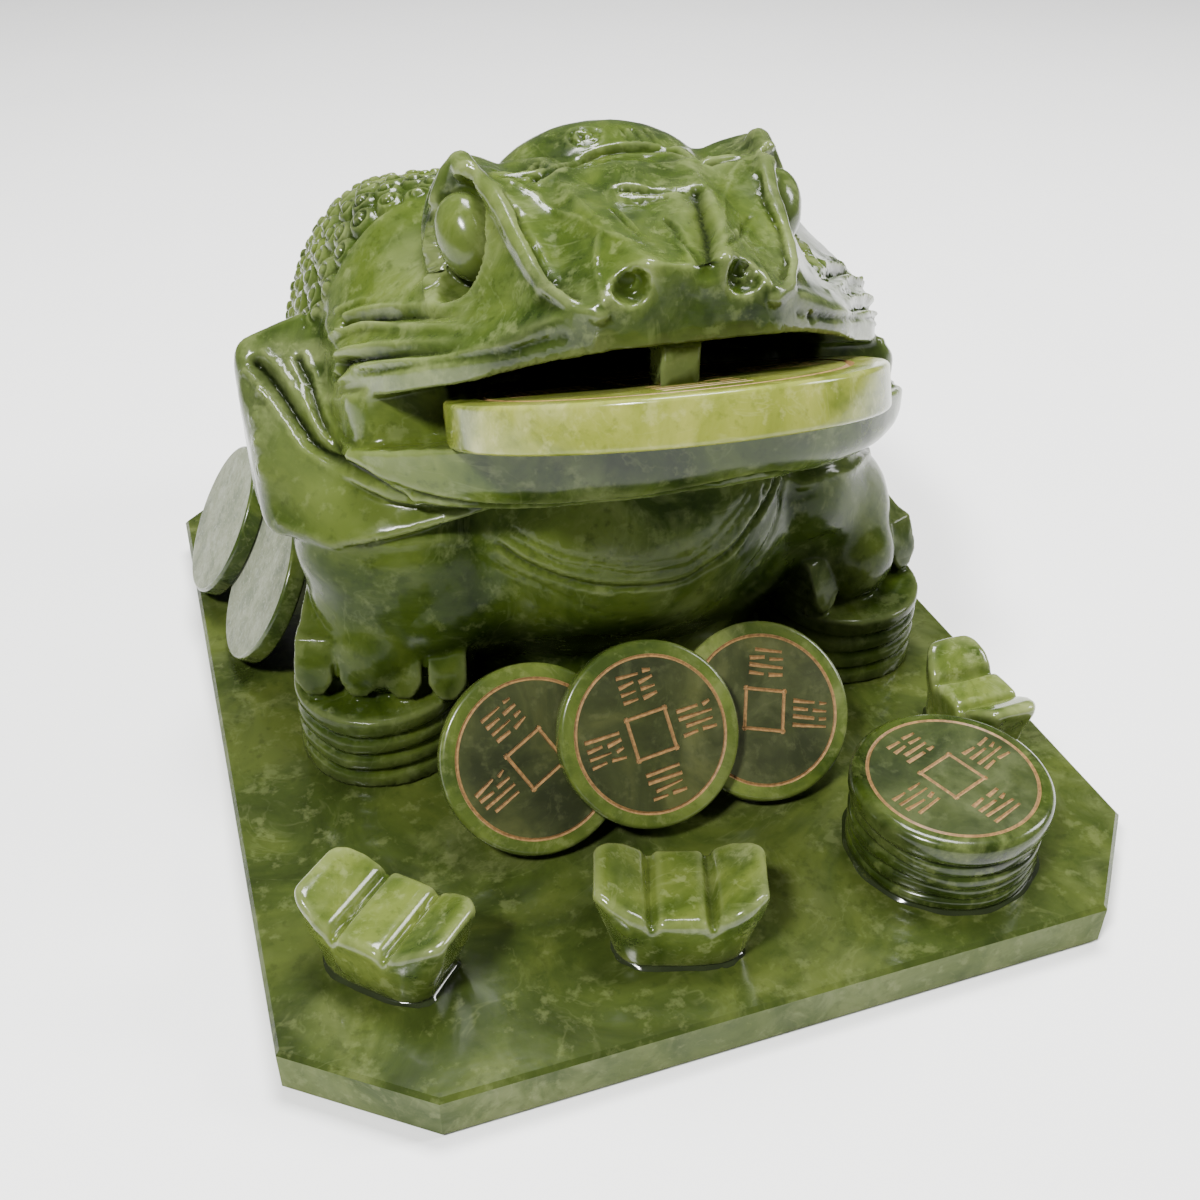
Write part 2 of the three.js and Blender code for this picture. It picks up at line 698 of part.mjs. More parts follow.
// Square outline and rows of shallow strokes at the marked sides, as bars to cut from a face at Z = 0.
// The sides are numbered from the top one, by the left, and all strokes lie level
function engraving(radius, marks = ALL_SIDES) {
  const bars = [];
  const bit = (length, x, y, turn) => {
    const box = new THREE.BoxGeometry(length, LINE_WIDTH, 2 * ENGRAVE_DEPTH);
    bars.push(toSolid(box.translate(x, y, 0).rotateZ(turn)));
  };
  const half = radius * SQUARE_SHARE;
  for (let side = 0; side < 4; side += 1) {
    const turn = (side * PI) / 2;
    bit(2 * half + LINE_WIDTH, 0, half, turn);
    if (!marks.includes(side)) continue;
    STROKE_LENGTHS.forEach((share, row) => {
      const x = -radius * STROKE_SPREAD * sin(turn);
      const y = radius * (STROKE_SPREAD * cos(turn) + STROKE_STEP * (1 - row));
      bit(radius * share, x, y, 0);
    });
  }
  return joined(bars);
}

// Coin with its front face at Z = 0, facing up
function coin(radius, thickness, sides, edge, marks = null) {
  const face = marks ? facedTop(radius, 0, edge) : [[radius, -edge], [radius - edge, 0], [0, 0]];
  const solid = toSolid(lathe([[0, -thickness], [radius, -thickness], ...face], sides));
  return marks ? solid.subtract(engraving(radius, marks)) : solid;
}

// Matrix that sets a face in its place: facing and rise in degrees, turn about its own middle
function faceMatrix(place, facing, rise, turn = 0) {
  const a = radians(facing);
  const e = radians(rise);
  const normal = new THREE.Vector3(sin(a) * cos(e), -cos(a) * cos(e), sin(e));
  const right = new THREE.Vector3(cos(a), sin(a), 0);
  const up = new THREE.Vector3().crossVectors(normal, right);
  const matrix = new THREE.Matrix4().makeBasis(right, up, normal).setPosition(...place);
  return matrix.multiply(new THREE.Matrix4().makeRotationZ(radians(turn)));
}

// Profile of a pile of coins, with a groove under each coin but the lowest
function pileProfile(radius, height, layers, top) {
  const profile = [[0, 0], [radius, 0]];
  const layer = height / layers;
  const groove = LAYER_GROOVE;
  for (let i = 1; i < layers; i += 1) {
    const z = i * layer;
    profile.push([radius, z - groove], [radius - groove, z], [radius, z + groove / 2]);
  }
  return profile.concat(top);
}

// Materials

const stone = (color, roughness) => new THREE.MeshStandardMaterial({ color, roughness, metalness: 0 });
const JADE = stone(0x4f6a24, 0.16);
const PALE_JADE = stone(0x98a24e, 0.18);
const DARK_JADE = stone(0x3f5426, 0.2);
const HAZY_JADE = stone(0x6f7764, 0.55);

const figure = new THREE.Group();
figure.name = 'money_toad_figure';

// A row of pieces whose Z starts at the top of the slab
const onSlab = new THREE.Group();
onSlab.position.z = SLAB_HEIGHT;
figure.add(onSlab);

function place(parent, name, geometry, material) {
  const mesh = new THREE.Mesh(geometry, material);
  mesh.name = name;
  parent.add(mesh);
}

// Slab with its corners cut off

function slabGeometry() {
  const x = SLAB_WIDTH / 2;
  const y = SLAB_DEPTH / 2;
  const [fl, fr, b] = [SLAB_FRONT_LEFT_CUT, SLAB_FRONT_RIGHT_CUT, SLAB_BACK_CUT];
  const inset = SLAB_EDGE;
  const corners = [
    [-x + fl[0], -y], [x - fr[0], -y], [x, -y + fr[1]], [x, y - b[1]],
    [x - b[0], y], [-x + b[0], y], [-x, y - b[1]], [-x, -y + fl[1]],
  ].map(([u, v]) => new THREE.Vector2(u * (1 - inset / x), v * (1 - inset / y)));
  return new THREE.ExtrudeGeometry(new THREE.Shape(corners), {
    depth: SLAB_HEIGHT - 2 * inset,
    bevelEnabled: true,
    bevelThickness: inset,
    bevelSize: inset,
    bevelSegments: 1,
  }).translate(0, 0, inset);
}

// Solid through a row of closed rings, each seen anticlockwise from ahead of the row
function loft(rings) {
  const n = rings[0].length;
  const faces = [];
  for (let i = 0; i + 1 < rings.length; i += 1) {
    for (let j = 0; j < n; j += 1) {
      const [a, b] = [i * n + j, i * n + ((j + 1) % n)];
      faces.push([a, b, b + n], [a, b + n, a + n]);
    }
  }
  const last = (rings.length - 1) * n;
  for (let j = 1; j + 1 < n; j += 1) {
    faces.push([0, j + 1, j], [last, last + j, last + j + 1]);
  }
  return carvedGeometry({ points: rings.flat(), faces });
}

const headMatrix = new THREE.Matrix4().makeRotationZ(radians(HEAD_TURN)).setPosition(HEAD_LINE, 0, 0);

function eyeballs() {
  return [1, -1].map((side) => {
    const [x, y, z] = add(EYE, scale(EYE_LOOK, EYE_PROUD));
    const ball = new THREE.IcosahedronGeometry(1, 2).scale(...EYEBALL);
    const turn = Math.atan2(EYE_LOOK[1], EYE_LOOK[0]);
    return ball.rotateZ(side > 0 ? turn : PI - turn).translate(side * x, y, z).applyMatrix4(headMatrix);
  });
}

// Prop between the coin and the upper lip
function propGeometry() {
  const [x, y, z] = PROP_PLACE;
  const box = new THREE.BoxGeometry(PROP_WIDTH, PROP_WIDTH, PROP_HEIGHT);
  return box.translate(x, y, z).applyMatrix4(headMatrix);
}

// Fingers bent down onto a pile, from the inner one to the outer one
function fingers() {
  return Object.entries(HAND_ROWS).flatMap(([name, [across, forward]]) => {
    const side = name === 'left' ? -1 : 1;
    const [px, py] = FOOT_PILE_PLACES[name];
    return Array.from({ length: FINGERS }, (_, i) => {
      const x = across + (i - (FINGERS - 1) / 2) * FINGER_STEP;
      const rings = FINGER_RINGS.map(([way, height, share, [thick, tall]]) => {
        const w = (FINGER_WIDTH / 2) * share;
        const y = way - forward;
        const corners = [
          [x - w, y + thick, height - tall],
          [x + w, y + thick, height - tall],
          [x + w, y - thick, height + tall],
          [x - w, y - thick, height + tall],
        ];
        return corners.map((corner) => {
          const [u, v, z] = turnZ(corner, -HAND_TURN);
          return [px + side * u, py + v, z + FOOT_PILE_HEIGHT / GROWTH];
        });
      });
      return loft(side > 0 ? rings : rings.map((corners) => corners.reverse()));
    });
  });
}

// Toad with its hands on two piles, a seat for the coin in its mouth and seats for the flank coins
function toadSolid() {
  const k = GROWTH;
  const care = (p) => (p[1] < FACE_REAR && p[2] > FACE_BASE ? FACE_CARE : 1);
  const carved = surface(toad, CARVE_LOW, CARVE_HIGH, CARVE_CELL);
  const mesh = coarser(relaxed(carved, toad, CARVE_CELL), TOAD_FACES, care);
  const lift = (p) => [p[0] * k, p[1] * k, max(p[2] * k, GAP)];
  const grown = new THREE.Matrix4().makeScale(k, k, k);
  let solid = toSolid(carvedGeometry(mesh, lift));
  for (const detail of [...eyeballs(), propGeometry(), ...fingers()]) {
    solid = solid.add(movedSolid(detail, grown));
  }
  const [radius, height] = [FOOT_PILE_RADIUS, FOOT_PILE_HEIGHT];
  const top = [[radius, height - PILE_EDGE], [radius - PILE_EDGE, height], [0, height]];
  const profile = pileProfile(radius, height, FOOT_PILE_LAYERS, top);
  for (const [x, y] of Object.values(FOOT_PILE_PLACES)) {
    const raised = profile.map(([r, z]) => [r, max(z, GAP)]);
    solid = solid.add(toSolid(lathe(raised, FOOT_PILE_SIDES).translate(x * k, y * k, 0)));
  }
  const seat = [
    [0, -MOUTH_COIN_THICKNESS - GAP],
    [MOUTH_COIN_RADIUS + GAP, -MOUTH_COIN_THICKNESS - GAP],
    [MOUTH_COIN_RADIUS + GAP, GAP],
    [0, GAP],
  ];
  solid = solid.subtract(movedSolid(lathe(seat, MOUTH_COIN_SIDES), mouthCoinMatrix()));
  const room = [
    [0, -COIN_THICKNESS - GAP],
    [FLANK_COIN_RADIUS + GAP, -COIN_THICKNESS - GAP],
    [FLANK_COIN_RADIUS + GAP, GAP],
    [0, GAP],
  ];
  for (const { matrix } of flankCoins()) {
    solid = solid.subtract(movedSolid(lathe(room, PLAIN_COIN_SIDES), matrix));
  }
  return solid;
}

// Coins on the flanks: their names, and the places of their front faces
function flankCoins() {
  return Object.entries(FLANK_COINS).flatMap(([level, { place: [x, y, z], facing, rise }]) => (
    [['left', 1], ['right', -1]].map(([side, sign]) => ({
      name: `flank_coin_${side}_${level}`,
      matrix: faceMatrix([sign * x, y, z], sign * facing, rise),
    }))
  ));
}

function mouthCoinMatrix() {
  const head = new THREE.Matrix4().makeRotationZ(radians(HEAD_TURN)).setPosition(HEAD_LINE * GROWTH, 0, 0);
  return head.multiply(faceMatrix(scale(MOUTH_COIN_PLACE, GROWTH), 0, 90 + MOUTH_COIN_RISE));
}

place(figure, 'slab', slabGeometry(), JADE);
place(onSlab, 'toad', toGeometry(toadSolid()), JADE);

const mouthCoinFaces = [MOUTH_COIN_SIDES, MOUTH_COIN_EDGE];
const mouthCoin = coin(MOUTH_COIN_RADIUS, MOUTH_COIN_THICKNESS, ...mouthCoinFaces, ALL_SIDES);
place(onSlab, 'mouth_coin', toGeometry(mouthCoin).applyMatrix4(mouthCoinMatrix()), PALE_JADE);

// Standing coins: the two outer ones leave room for the middle one

const upright = (spec, grow = 0) => {
  const matrix = faceMatrix(spec.place, spec.facing, spec.rise, spec.turn);
  const lifted = new THREE.Matrix4().makeTranslation(0, 0, grow).premultiply(matrix);
  return { matrix, lifted };
};

const middleRoom = () => {
  const spec = STANDING_COINS.middle;
  const [reach, low] = [spec.radius + GAP, -COIN_THICKNESS - 2 * GAP];
  const disc = lathe([[0, low], [reach, low], [reach, 0], [0, 0]], COIN_SIDES);
  return movedSolid(disc, upright(spec, GAP).lifted);
};

for (const [name, spec] of Object.entries(STANDING_COINS)) {
  const engraved = coin(spec.radius, COIN_THICKNESS, COIN_SIDES, COIN_EDGE, spec.marks);
  let solid = toSolid(toGeometry(engraved).applyMatrix4(upright(spec).matrix));
  if (name !== 'middle') solid = solid.subtract(middleRoom());
  place(onSlab, `standing_coin_${name}`, toGeometry(solid), DARK_JADE);
}

// Coins on the flanks

for (const { name, matrix } of flankCoins()) {
  const solid = coin(FLANK_COIN_RADIUS, COIN_THICKNESS, PLAIN_COIN_SIDES, COIN_EDGE);
  place(onSlab, name, toGeometry(solid).applyMatrix4(matrix), HAZY_JADE);
}

// Pile of coins

function pileSolid() {
  const top = facedTop(PILE_RADIUS, PILE_HEIGHT, PILE_TOP_EDGE);
  const profile = pileProfile(PILE_RADIUS, PILE_HEIGHT, PILE_LAYERS, top);
  const raised = profile.map(([r, z]) => [r, max(z, GAP)]);
  const cut = toGeometry(engraving(PILE_RADIUS)).translate(0, 0, PILE_HEIGHT);
  return toSolid(lathe(raised, PILE_SIDES)).subtract(toSolid(cut));
}

const pile = toGeometry(pileSolid()).rotateZ(radians(PILE_TURN)).translate(...PILE_PLACE, 0);
place(onSlab, 'coin_pile', pile, JADE);

// Ingots

function ingotRing(x, y, h) {
  const [long, wide] = INGOT_FOOT;
  const half = [
    [long * x, wide * y, GAP],
    [(x * (1 + long)) / 2, (y * (2 + wide)) / 3, h / 2],
    [x, y, h - INGOT_EDGE],
    [0.98 * x, y - INGOT_EDGE, h],
  ];
  const other = half.map(([px, py, pz]) => [px, -py, pz]).reverse();
  return [...half, ...other];
}

function ingotGeometry({ length, width }) {
  const ring = (side) => ([along, top, wide]) => (
    ingotRing((side * along * length) / 2, (wide * width) / 2, top * INGOT_HEIGHT)
  );
  const right = INGOT_STATIONS.map(ring(1));
  const left = INGOT_STATIONS.slice(1).map(ring(-1)).reverse();
  return loft([...left, ...right]);
}

for (const [name, spec] of Object.entries(INGOTS)) {
  const geometry = ingotGeometry(spec).rotateZ(radians(spec.turn)).translate(...spec.place, 0);
  place(onSlab, `ingot_${name}`, geometry, PALE_JADE);
}

export default figure;
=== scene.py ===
"""Money toad figure in polished green stone, dressed for rendering.

The toad stands on a slab among coins and ingots. Sizes in the classes are in
millimetres with Z from the slab's top; meshes are in metres in the row frame.
"""

from __future__ import annotations

import json
import logging
import math
import random
from contextlib import contextmanager
from dataclasses import dataclass, field, replace
from enum import Enum
from itertools import product
from typing import Callable, Iterable, Iterator, Sequence

import bmesh
import bpy
import numpy as np
from bmesh.types import BMEdge, BMesh, BMVert
from bpy.types import Material, Mesh, Node, NodeSocket, Object
from mathutils import Matrix, Vector
from mathutils.geometry import convex_hull_2d
from mathutils.kdtree import KDTree

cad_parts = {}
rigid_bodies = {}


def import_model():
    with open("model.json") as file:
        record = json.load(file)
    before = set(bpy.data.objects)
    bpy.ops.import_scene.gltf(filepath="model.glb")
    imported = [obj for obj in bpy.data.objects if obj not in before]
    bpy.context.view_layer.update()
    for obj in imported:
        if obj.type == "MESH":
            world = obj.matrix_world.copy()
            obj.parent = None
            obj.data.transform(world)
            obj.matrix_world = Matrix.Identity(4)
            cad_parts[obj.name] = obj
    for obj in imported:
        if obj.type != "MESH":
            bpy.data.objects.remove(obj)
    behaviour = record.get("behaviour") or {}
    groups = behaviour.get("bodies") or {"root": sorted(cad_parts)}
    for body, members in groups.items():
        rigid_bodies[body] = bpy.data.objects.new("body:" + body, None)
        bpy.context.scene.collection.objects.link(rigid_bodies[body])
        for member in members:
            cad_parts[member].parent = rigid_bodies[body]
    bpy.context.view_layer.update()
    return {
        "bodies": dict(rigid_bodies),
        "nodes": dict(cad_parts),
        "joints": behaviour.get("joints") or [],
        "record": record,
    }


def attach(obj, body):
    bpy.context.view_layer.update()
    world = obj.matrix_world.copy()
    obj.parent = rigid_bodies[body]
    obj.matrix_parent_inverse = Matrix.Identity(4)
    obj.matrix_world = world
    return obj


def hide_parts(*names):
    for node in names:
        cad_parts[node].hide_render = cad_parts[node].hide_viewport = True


log = logging.getLogger("money_toad")

MM = 0.001
SLAB_HEIGHT = 15.0
LEVEL = 1e-4
BODY = "root"
Array = np.ndarray
Point = tuple[float, float, float]
Pair = tuple[float, float]
Form = Callable[[Array], Array]


class Slot(Enum):
    """Finish slots of the record."""

    TOAD = "toad_stone"
    MOUTH_COIN = "mouth_coin_stone"
    COIN = "coin_stone"
    FLANK_COIN = "flank_coin_stone"
    PILE = "pile_stone"
    INGOT = "ingot_stone"


# Signed distances of carved forms: below zero inside


def length(points: Array) -> Array:
    """Length of each vector."""
    return np.sqrt((points * points).sum(-1))


def unit(vector: Sequence[float]) -> Array:
    """Vector scaled to length one."""
    array = np.asarray(vector, float)
    return array / np.linalg.norm(array)


def ellipsoid(points: Array, centre: Sequence[float], radii: Sequence[float]) -> Array:
    """Distance to an ellipsoid along the axes.

    Args:
        points: Places to measure at.
        centre: Middle of the ellipsoid.
        radii: Its three half axes.

    Returns:
        One distance for each point.
    """
    q = (points - np.asarray(centre, float)) / np.asarray(radii, float)
    near = length(q)
    slope = length(q / np.asarray(radii, float)) + 1e-9
    return near * (near - 1) / slope


def round_box(points: Array, radii: Sequence[float], power: float) -> Array:
    """Distance to a rounded box at the origin.

    Args:
        points: Places to measure at.
        radii: Half sizes.
        power: Two gives an ellipsoid, more gives a squarer box.

    Returns:
        One distance for each point.
    """
    radii = np.asarray(radii, float)
    q = np.abs(points) / radii + 1e-6
    level = (q**power).sum(-1) ** (1 / power)
    slope = length((level[..., None] ** (1 - power)) * q ** (power - 1) / radii) + 1e-9
    return (level - 1) / slope


def bar(points: Array, a: Sequence[float], b: Sequence[float], radius_a: float, radius_b: float) -> Array:
    """Distance to a round bar between two ends.

    Args:
        points: Places to measure at.
        a: First end.
        b: Second end.
        radius_a: Radius at the first end.
        radius_b: Radius at the second end.

    Returns:
        One distance for each point.
    """
    a, b = np.asarray(a, float), np.asarray(b, float)
    along = b - a
    t = np.clip(((points - a) @ along) / (along @ along), 0, 1)
    return length(points - a - t[..., None] * along) - (radius_a + (radius_b - radius_a) * t)


def join(a: Array, b: Array, blend: float) -> Array:
    """Union of two forms with a rounded inner corner of the blend's size."""
    if blend <= 0:
        return np.minimum(a, b)
    h = np.maximum(blend - np.abs(a - b), 0) / blend
    return np.minimum(a, b) - h * h * blend / 4


def trim(a: Array, b: Array, blend: float) -> Array:
    """Part of a that lies inside b, with its edge rounded by the blend."""
    return -join(-a, -b, blend)


def trimmed(form: Array, *cuts: tuple[Array, float]) -> Array:
    """Form trimmed by others in turn, each given with its blend."""
    for other, blend in cuts:
        form = trim(form, other, blend)
    return form


def chain(points: Array, places: Sequence[Point], radii: Sequence[float], blend: float) -> Array:
    """Distance to bars joined end to end.

    Args:
        points: Places to measure at.
        places: Ends of the bars in order.
        radii: Radius at each end.
        blend: Rounding where the bars meet.

    Returns:
        One distance for each point.
    """
    total = bar(points, places[0], places[1], radii[0], radii[1])
    for i in range(1, len(places) - 1):
        total = join(total, bar(points, places[i], places[i + 1], radii[i], radii[i + 1]), blend)
    return total


def block(points: Array, centre: Sequence[float], half: Sequence[float], edge: float) -> Array:
    """Distance to a box with rounded edges.

    Args:
        points: Places to measure at.
        centre: Middle of the box.
        half: Half sizes.
        edge: Radius of the edges.

    Returns:
        One distance for each point.
    """
    q = np.abs(points - np.asarray(centre, float)) - (np.asarray(half, float) - edge)
    return length(np.maximum(q, 0)) + np.minimum(q.max(-1), 0) - edge


def facet(points: Array, a: Point, b: Point, c: Point, inside: Point) -> Array:
    """Distance to the plane through three points.

    Args:
        points: Places to measure at.
        a: First point of the plane.
        b: Second point of the plane.
        c: Third point of the plane.
        inside: A point on the side that counts as inside.

    Returns:
        One distance for each point.
    """
    a, b, c = np.asarray(a, float), np.asarray(b, float), np.asarray(c, float)
    normal = unit(np.cross(b - a, c - a))
    if (np.asarray(inside, float) - a) @ normal > 0:
        normal = -normal
    return (points - a) @ normal


def axes_along(normal: Sequence[float]) -> Array:
    """Rows of a frame whose third axis is the normal and whose first is level."""
    z = unit(normal)
    x = unit(np.cross((0, 0, 1), z))
    return np.stack([x, np.cross(z, x), z])


def parts(points: Array) -> Array:
    """The three coordinates of points, one after the other."""
    return np.moveaxis(points, -1, 0)


def mirrored(points: Array) -> Array:
    """Points with both sides laid over the right one."""
    result = points.copy()
    result[..., 0] = np.abs(result[..., 0])
    return result


def turn_matrix(degrees: float) -> Array:
    """Matrix of a turn about the upright axis."""
    angle = math.radians(degrees)
    c, s = math.cos(angle), math.sin(angle)
    return np.array([[c, s, 0], [-s, c, 0], [0, 0, 1]])


def smooth_step(low: float, high: float, values: Array) -> Array:
    """Rise from zero at low to one at high, level at both ends."""
    t = np.clip((values - low) / (high - low), 0, 1)
    return t * t * (3 - 2 * t)


@dataclass
class ToadForm:
    """Carved form of the toad as a blend of plain shapes."""

    body_line: float = 4.4
    back_slope: Point = (0.1048, 0.2838, 0.9531)
    back_top: float = 162.4
    back_fall: float = 22.0
    prop: Pair = (-1, -72.5)
    head_line: float = 6.75
    head_turn: float = -4.5
    coin_radius: float = 60.8
    coin_thickness: float = 12.4
    coin_place: Point = (1.9, -54.4, 130.3)
    coin_rise: float = 22.9
    eye: Point = (42, -15, 158)
    eye_look: Point = (0.86, -0.5, 0.08)
    eye_tilt: float = 33.0
    eye_shift: Point = (-2.5, 4.5, 0)
    opening: Pair = (11.8, 17.4)
    pile_radius: float = 27.0
    pile_height: float = 27.0
    pile_layers: int = 4
    pile_left: Pair = (-77.7, -23.5)
    pile_right: Pair = (86.5, -24)
    hand_turn: float = 22.0
    hand_left: Pair = (-4, 17)
    hand_right: Pair = (-1, 12.5)
    finger_step: float = 13.8
    finger_half: float = 5.9
    fingers: int = 4
    head_low: float = 84.0
    head_rear: float = 56.0
    gap: float = 0.3

    def to_head(self, points: Array) -> Array:
        """Points in the head's own frame."""
        return (points - np.array([self.head_line, 0, 0])) @ turn_matrix(self.head_turn).T

    def coin_axes(self) -> tuple[Array, Array]:
        """Up and forward directions of the mouth coin."""
        rise = math.radians(self.coin_rise)
        up = np.array([0, math.sin(rise), math.cos(rise)])
        forward = np.array([0, -math.cos(rise), math.sin(rise)])
        return up, forward

    @staticmethod
    def lip_height(side: Array, y: Array) -> Array:
        """Height of the upper lip's edge."""
        return 149 - 0.46 * (y + 81) - 4.5 * (side / 86) ** 3

    def crown(self, points: Array) -> Array:
        """Upper half of the head with its flat cheeks and sloping sides."""
        m = mirrored(points)
        s, y, z = parts(m)
        inside = (20, -10, 135)
        d = trim((self.lip_height(s, y) - z) * 0.9, -81 + 0.17 * (z - 152) - y, 3)
        plan = [(24, -81), (52, -62), (73, -36), (85, -8), (87, 12), (70, 45)]
        for (x0, y0), (x1, y1) in zip(plan, plan[1:]):
            run = math.hypot(x1 - x0, y1 - y0)
            wall = ((s - x0) * (y1 - y0) - (y - y0) * (x1 - x0)) / run
            d = trim(d, wall + 0.12 * (z - 149 + 0.46 * (y0 + 81)), 1.5)
        top = 172 + 0.2 * np.minimum(s, 30) + 0.03 * (y + 60) - 0.6 * np.maximum(y + 4, 0)
        return trimmed(
            d,
            (facet(m, (27, -26, 174.3), (10, -72, 174.2), (46, -60, 154.5), inside), 0.8),
            (facet(m, (60, 5, 148), (84, 2, 129), (50, -60, 149), inside), 2),
            ((z - top) * 0.85, 0.8),
            (y - 40, 10),
        )

    def forehead(self, points: Array) -> Array:
        """Low brow with the round dome behind it."""
        brow = ellipsoid(points, (0, -16, 157), (25, 26, 21))
        return join(brow, ellipsoid(points, (0, 9, 157), (36, 25, 25)), 1.0)

    def eye_frame(self, m: Array) -> Array:
        """Points in the frame of the eye's opening: back, up and out of the head."""
        q = (m - np.array(self.eye, float)) @ axes_along(self.eye_look).T - np.array(self.eye_shift)
        return q @ turn_matrix(-self.eye_tilt).T

    def rim(self) -> list[Point]:
        """Places round the eye's opening, from its lower back over its top, on the sanded face."""
        frame = axes_along(self.eye_look)
        out, on_face = unit((0.832, -0.254, 0.493)), np.array([37.5, -33, 174])
        spread = np.array(self.opening) + 1.9
        places = []
        for degrees in (-50, -24, 0, 24, 46, 66, 86):
            a = math.radians(degrees)
            in_opening = np.array([spread[0] * math.cos(a), spread[1] * math.sin(a), 0])
            turned = (in_opening @ turn_matrix(-self.eye_tilt) + np.array(self.eye_shift))[:2]
            flat = np.array(self.eye, float) + turned @ frame[:2]
            places.append(tuple(flat + frame[2] * ((on_face - flat) @ out) / (frame[2] @ out)))
        return places

    def brow_line(self, m: Array) -> Array:
        """Raised ribbon round the eye's opening that sweeps on to the snout's corner."""
        places = self.rim() + [
            (42.6, -15.8, 176.6), (38.3, -25, 175.4), (36.6, -35, 172.4), (35.7, -46, 168.8),
            (34.3, -56, 165.8), (32.5, -64.4, 163.6), (28.7, -73.5, 162.6), (22.6, -79, 161.2),
        ]
        radii = [1.8, 2.2, 2.4, 2.7, 3.1, 3.5, 3.7, 3.5, 3.2, 2.7, 2.3, 2.0, 1.8, 1.6, 1.4]
        return chain(m, places, radii, 0)

    def head(self, points: Array) -> Array:
        """Upper head with its brows, eye sockets, eyeballs and nostrils."""
        m = mirrored(points)
        d = join(self.crown(points), self.forehead(points), 1.5)
        eye = np.array(self.eye, float)
        turned = self.eye_frame(m)
        a, b, inside = (37.5, -33, 174), (34, -60, 166), (20, -30, 150)
        sanded = facet(m, a, b, (50.5, -36, 150.5), inside)
        s, y, z = parts(m)
        hood = ellipsoid(m, eye + (-5.5, 4.5, 2.5), (20.5, 24, 23))
        hood = trimmed(hood, (sanded, 1), ((z - 180 + 0.42 * (46 - s)) * 0.92, 2.5))
        under = facet(m, a, b, (25, -44, 170), (35, -45, 150))
        wedge = trimmed(sanded, (under, 1), (-64 - y, 2), (np.abs(z - 158) - 20, 2), (y + 14, 2))
        d = join(join(d, hood, 2.5), wedge, 1.2)
        d = join(d, self.brow_line(m), 1.6)
        width, height = self.opening
        d = trim(d, -round_box(turned - np.array([0, 0, 11]), (width, height, 13.5), 2.5), 0.8)
        d = join(d, ellipsoid(turned, (2.0, -0.5, 3.5), (9.2, 12.4, 8.8)), 2.0)
        nostril = np.array([14.6, -78, 168])
        d = trim(d, 5 - length(m - nostril), 0.6)
        return np.minimum(d, length(m - nostril - (0, 3.6, 0)) - 2.4)

    def jaw(self, points: Array) -> Array:
        """Lower jaw, with its raised corners beside the coin."""
        m = mirrored(points)
        s, y, z = parts(m)
        plane = np.stack([points[..., 0] - 1.5, y - 6, 0 * z], -1)
        floor = 97 - 0.17 * (y + 61) - z
        up, _ = self.coin_axes()
        rest = (points - np.array(self.coin_place)) @ up + self.coin_thickness
        lip = trimmed(round_box(plane, (92.5, 73, 50), 2.6), (floor, 10), (y - 40, 8), (rest, 2))
        lip_edge = self.lip_height(s, y)
        corner = trimmed(
            round_box(plane, (88.5, 70, 50), 2.6),
            (floor, 10),
            (-36 + 0.35 * (z - 103) - y, 6),
            ((z - lip_edge - 2) * 0.9, 2),
            ((s - 78 - 0.43 * (y + 36) - 0.9 * np.maximum(lip_edge - z, 0)) * 0.7, 2),
            (y - 40, 8),
        )
        return join(lip, corner, 4)

    def mouth(self, points: Array) -> Array:
        """Room in the mouth: round behind the coin, open at the front."""
        up, forward = self.coin_axes()
        q = points - np.array(self.coin_place)
        across, along = q[..., 0], q @ forward
        reach = np.hypot(across, along)
        side = np.where(along > 0, np.abs(across), reach)
        vault = np.clip((55 - reach) * 0.25, 0, 4)
        lip = self.lip_height(np.abs(points[..., 0]), points[..., 1])
        ceiling = (points[..., 2] - lip - vault) * 0.85
        rest = -(q @ up + self.coin_thickness)
        return np.maximum(np.maximum(side - (self.coin_radius + 1.5), ceiling), rest)

    def back(self, points: Array) -> Array:
        """Broad back, with its top falling to the rear."""
        fall = math.radians(self.back_fall)
        c, s = math.cos(fall), math.sin(fall)
        axes = np.array([[1, 0, 0], [0, c, -s], [0, s, c]])
        q = (points - np.array([0, 52, 73])) @ axes.T
        rear = points[..., 1] - 40
        q[..., 0] *= 1 + 0.0019 * (np.sqrt(rear * rear + 200) + rear) / 2
        side = np.abs(points[..., 0]) * 0.922 + points[..., 2] * 0.388 - 128.3
        body = trim(round_box(q, (97.5, 84, 88), 3) * 0.9, side, 16)
        return trim(body, points @ np.array(self.back_slope) - self.back_top, 9)

    def torso(self, points: Array) -> Array:
        """Belly, back, rump and chest."""
        d = join(ellipsoid(points, (0, 14, 69), (76, 76, 58)), self.back(points), 12)
        d = join(d, ellipsoid(points, (0, 90, 34), (81, 60, 44)), 15)
        d = join(d, ellipsoid(points, (0, 28, 12), (60, 76, 34)), 12)
        return join(d, bar(points, (-78, -14, 71), (-62, -26, 55), 24, 22), 12)

    def hind_leg(self, points: Array) -> Array:
        """Single hind leg, folded under the rump."""
        thigh = ellipsoid(points, (0, 112, 35), (40, 34, 42))
        return join(thigh, ellipsoid(points, (0, 138, 9), (26, 20, 12)), 4)

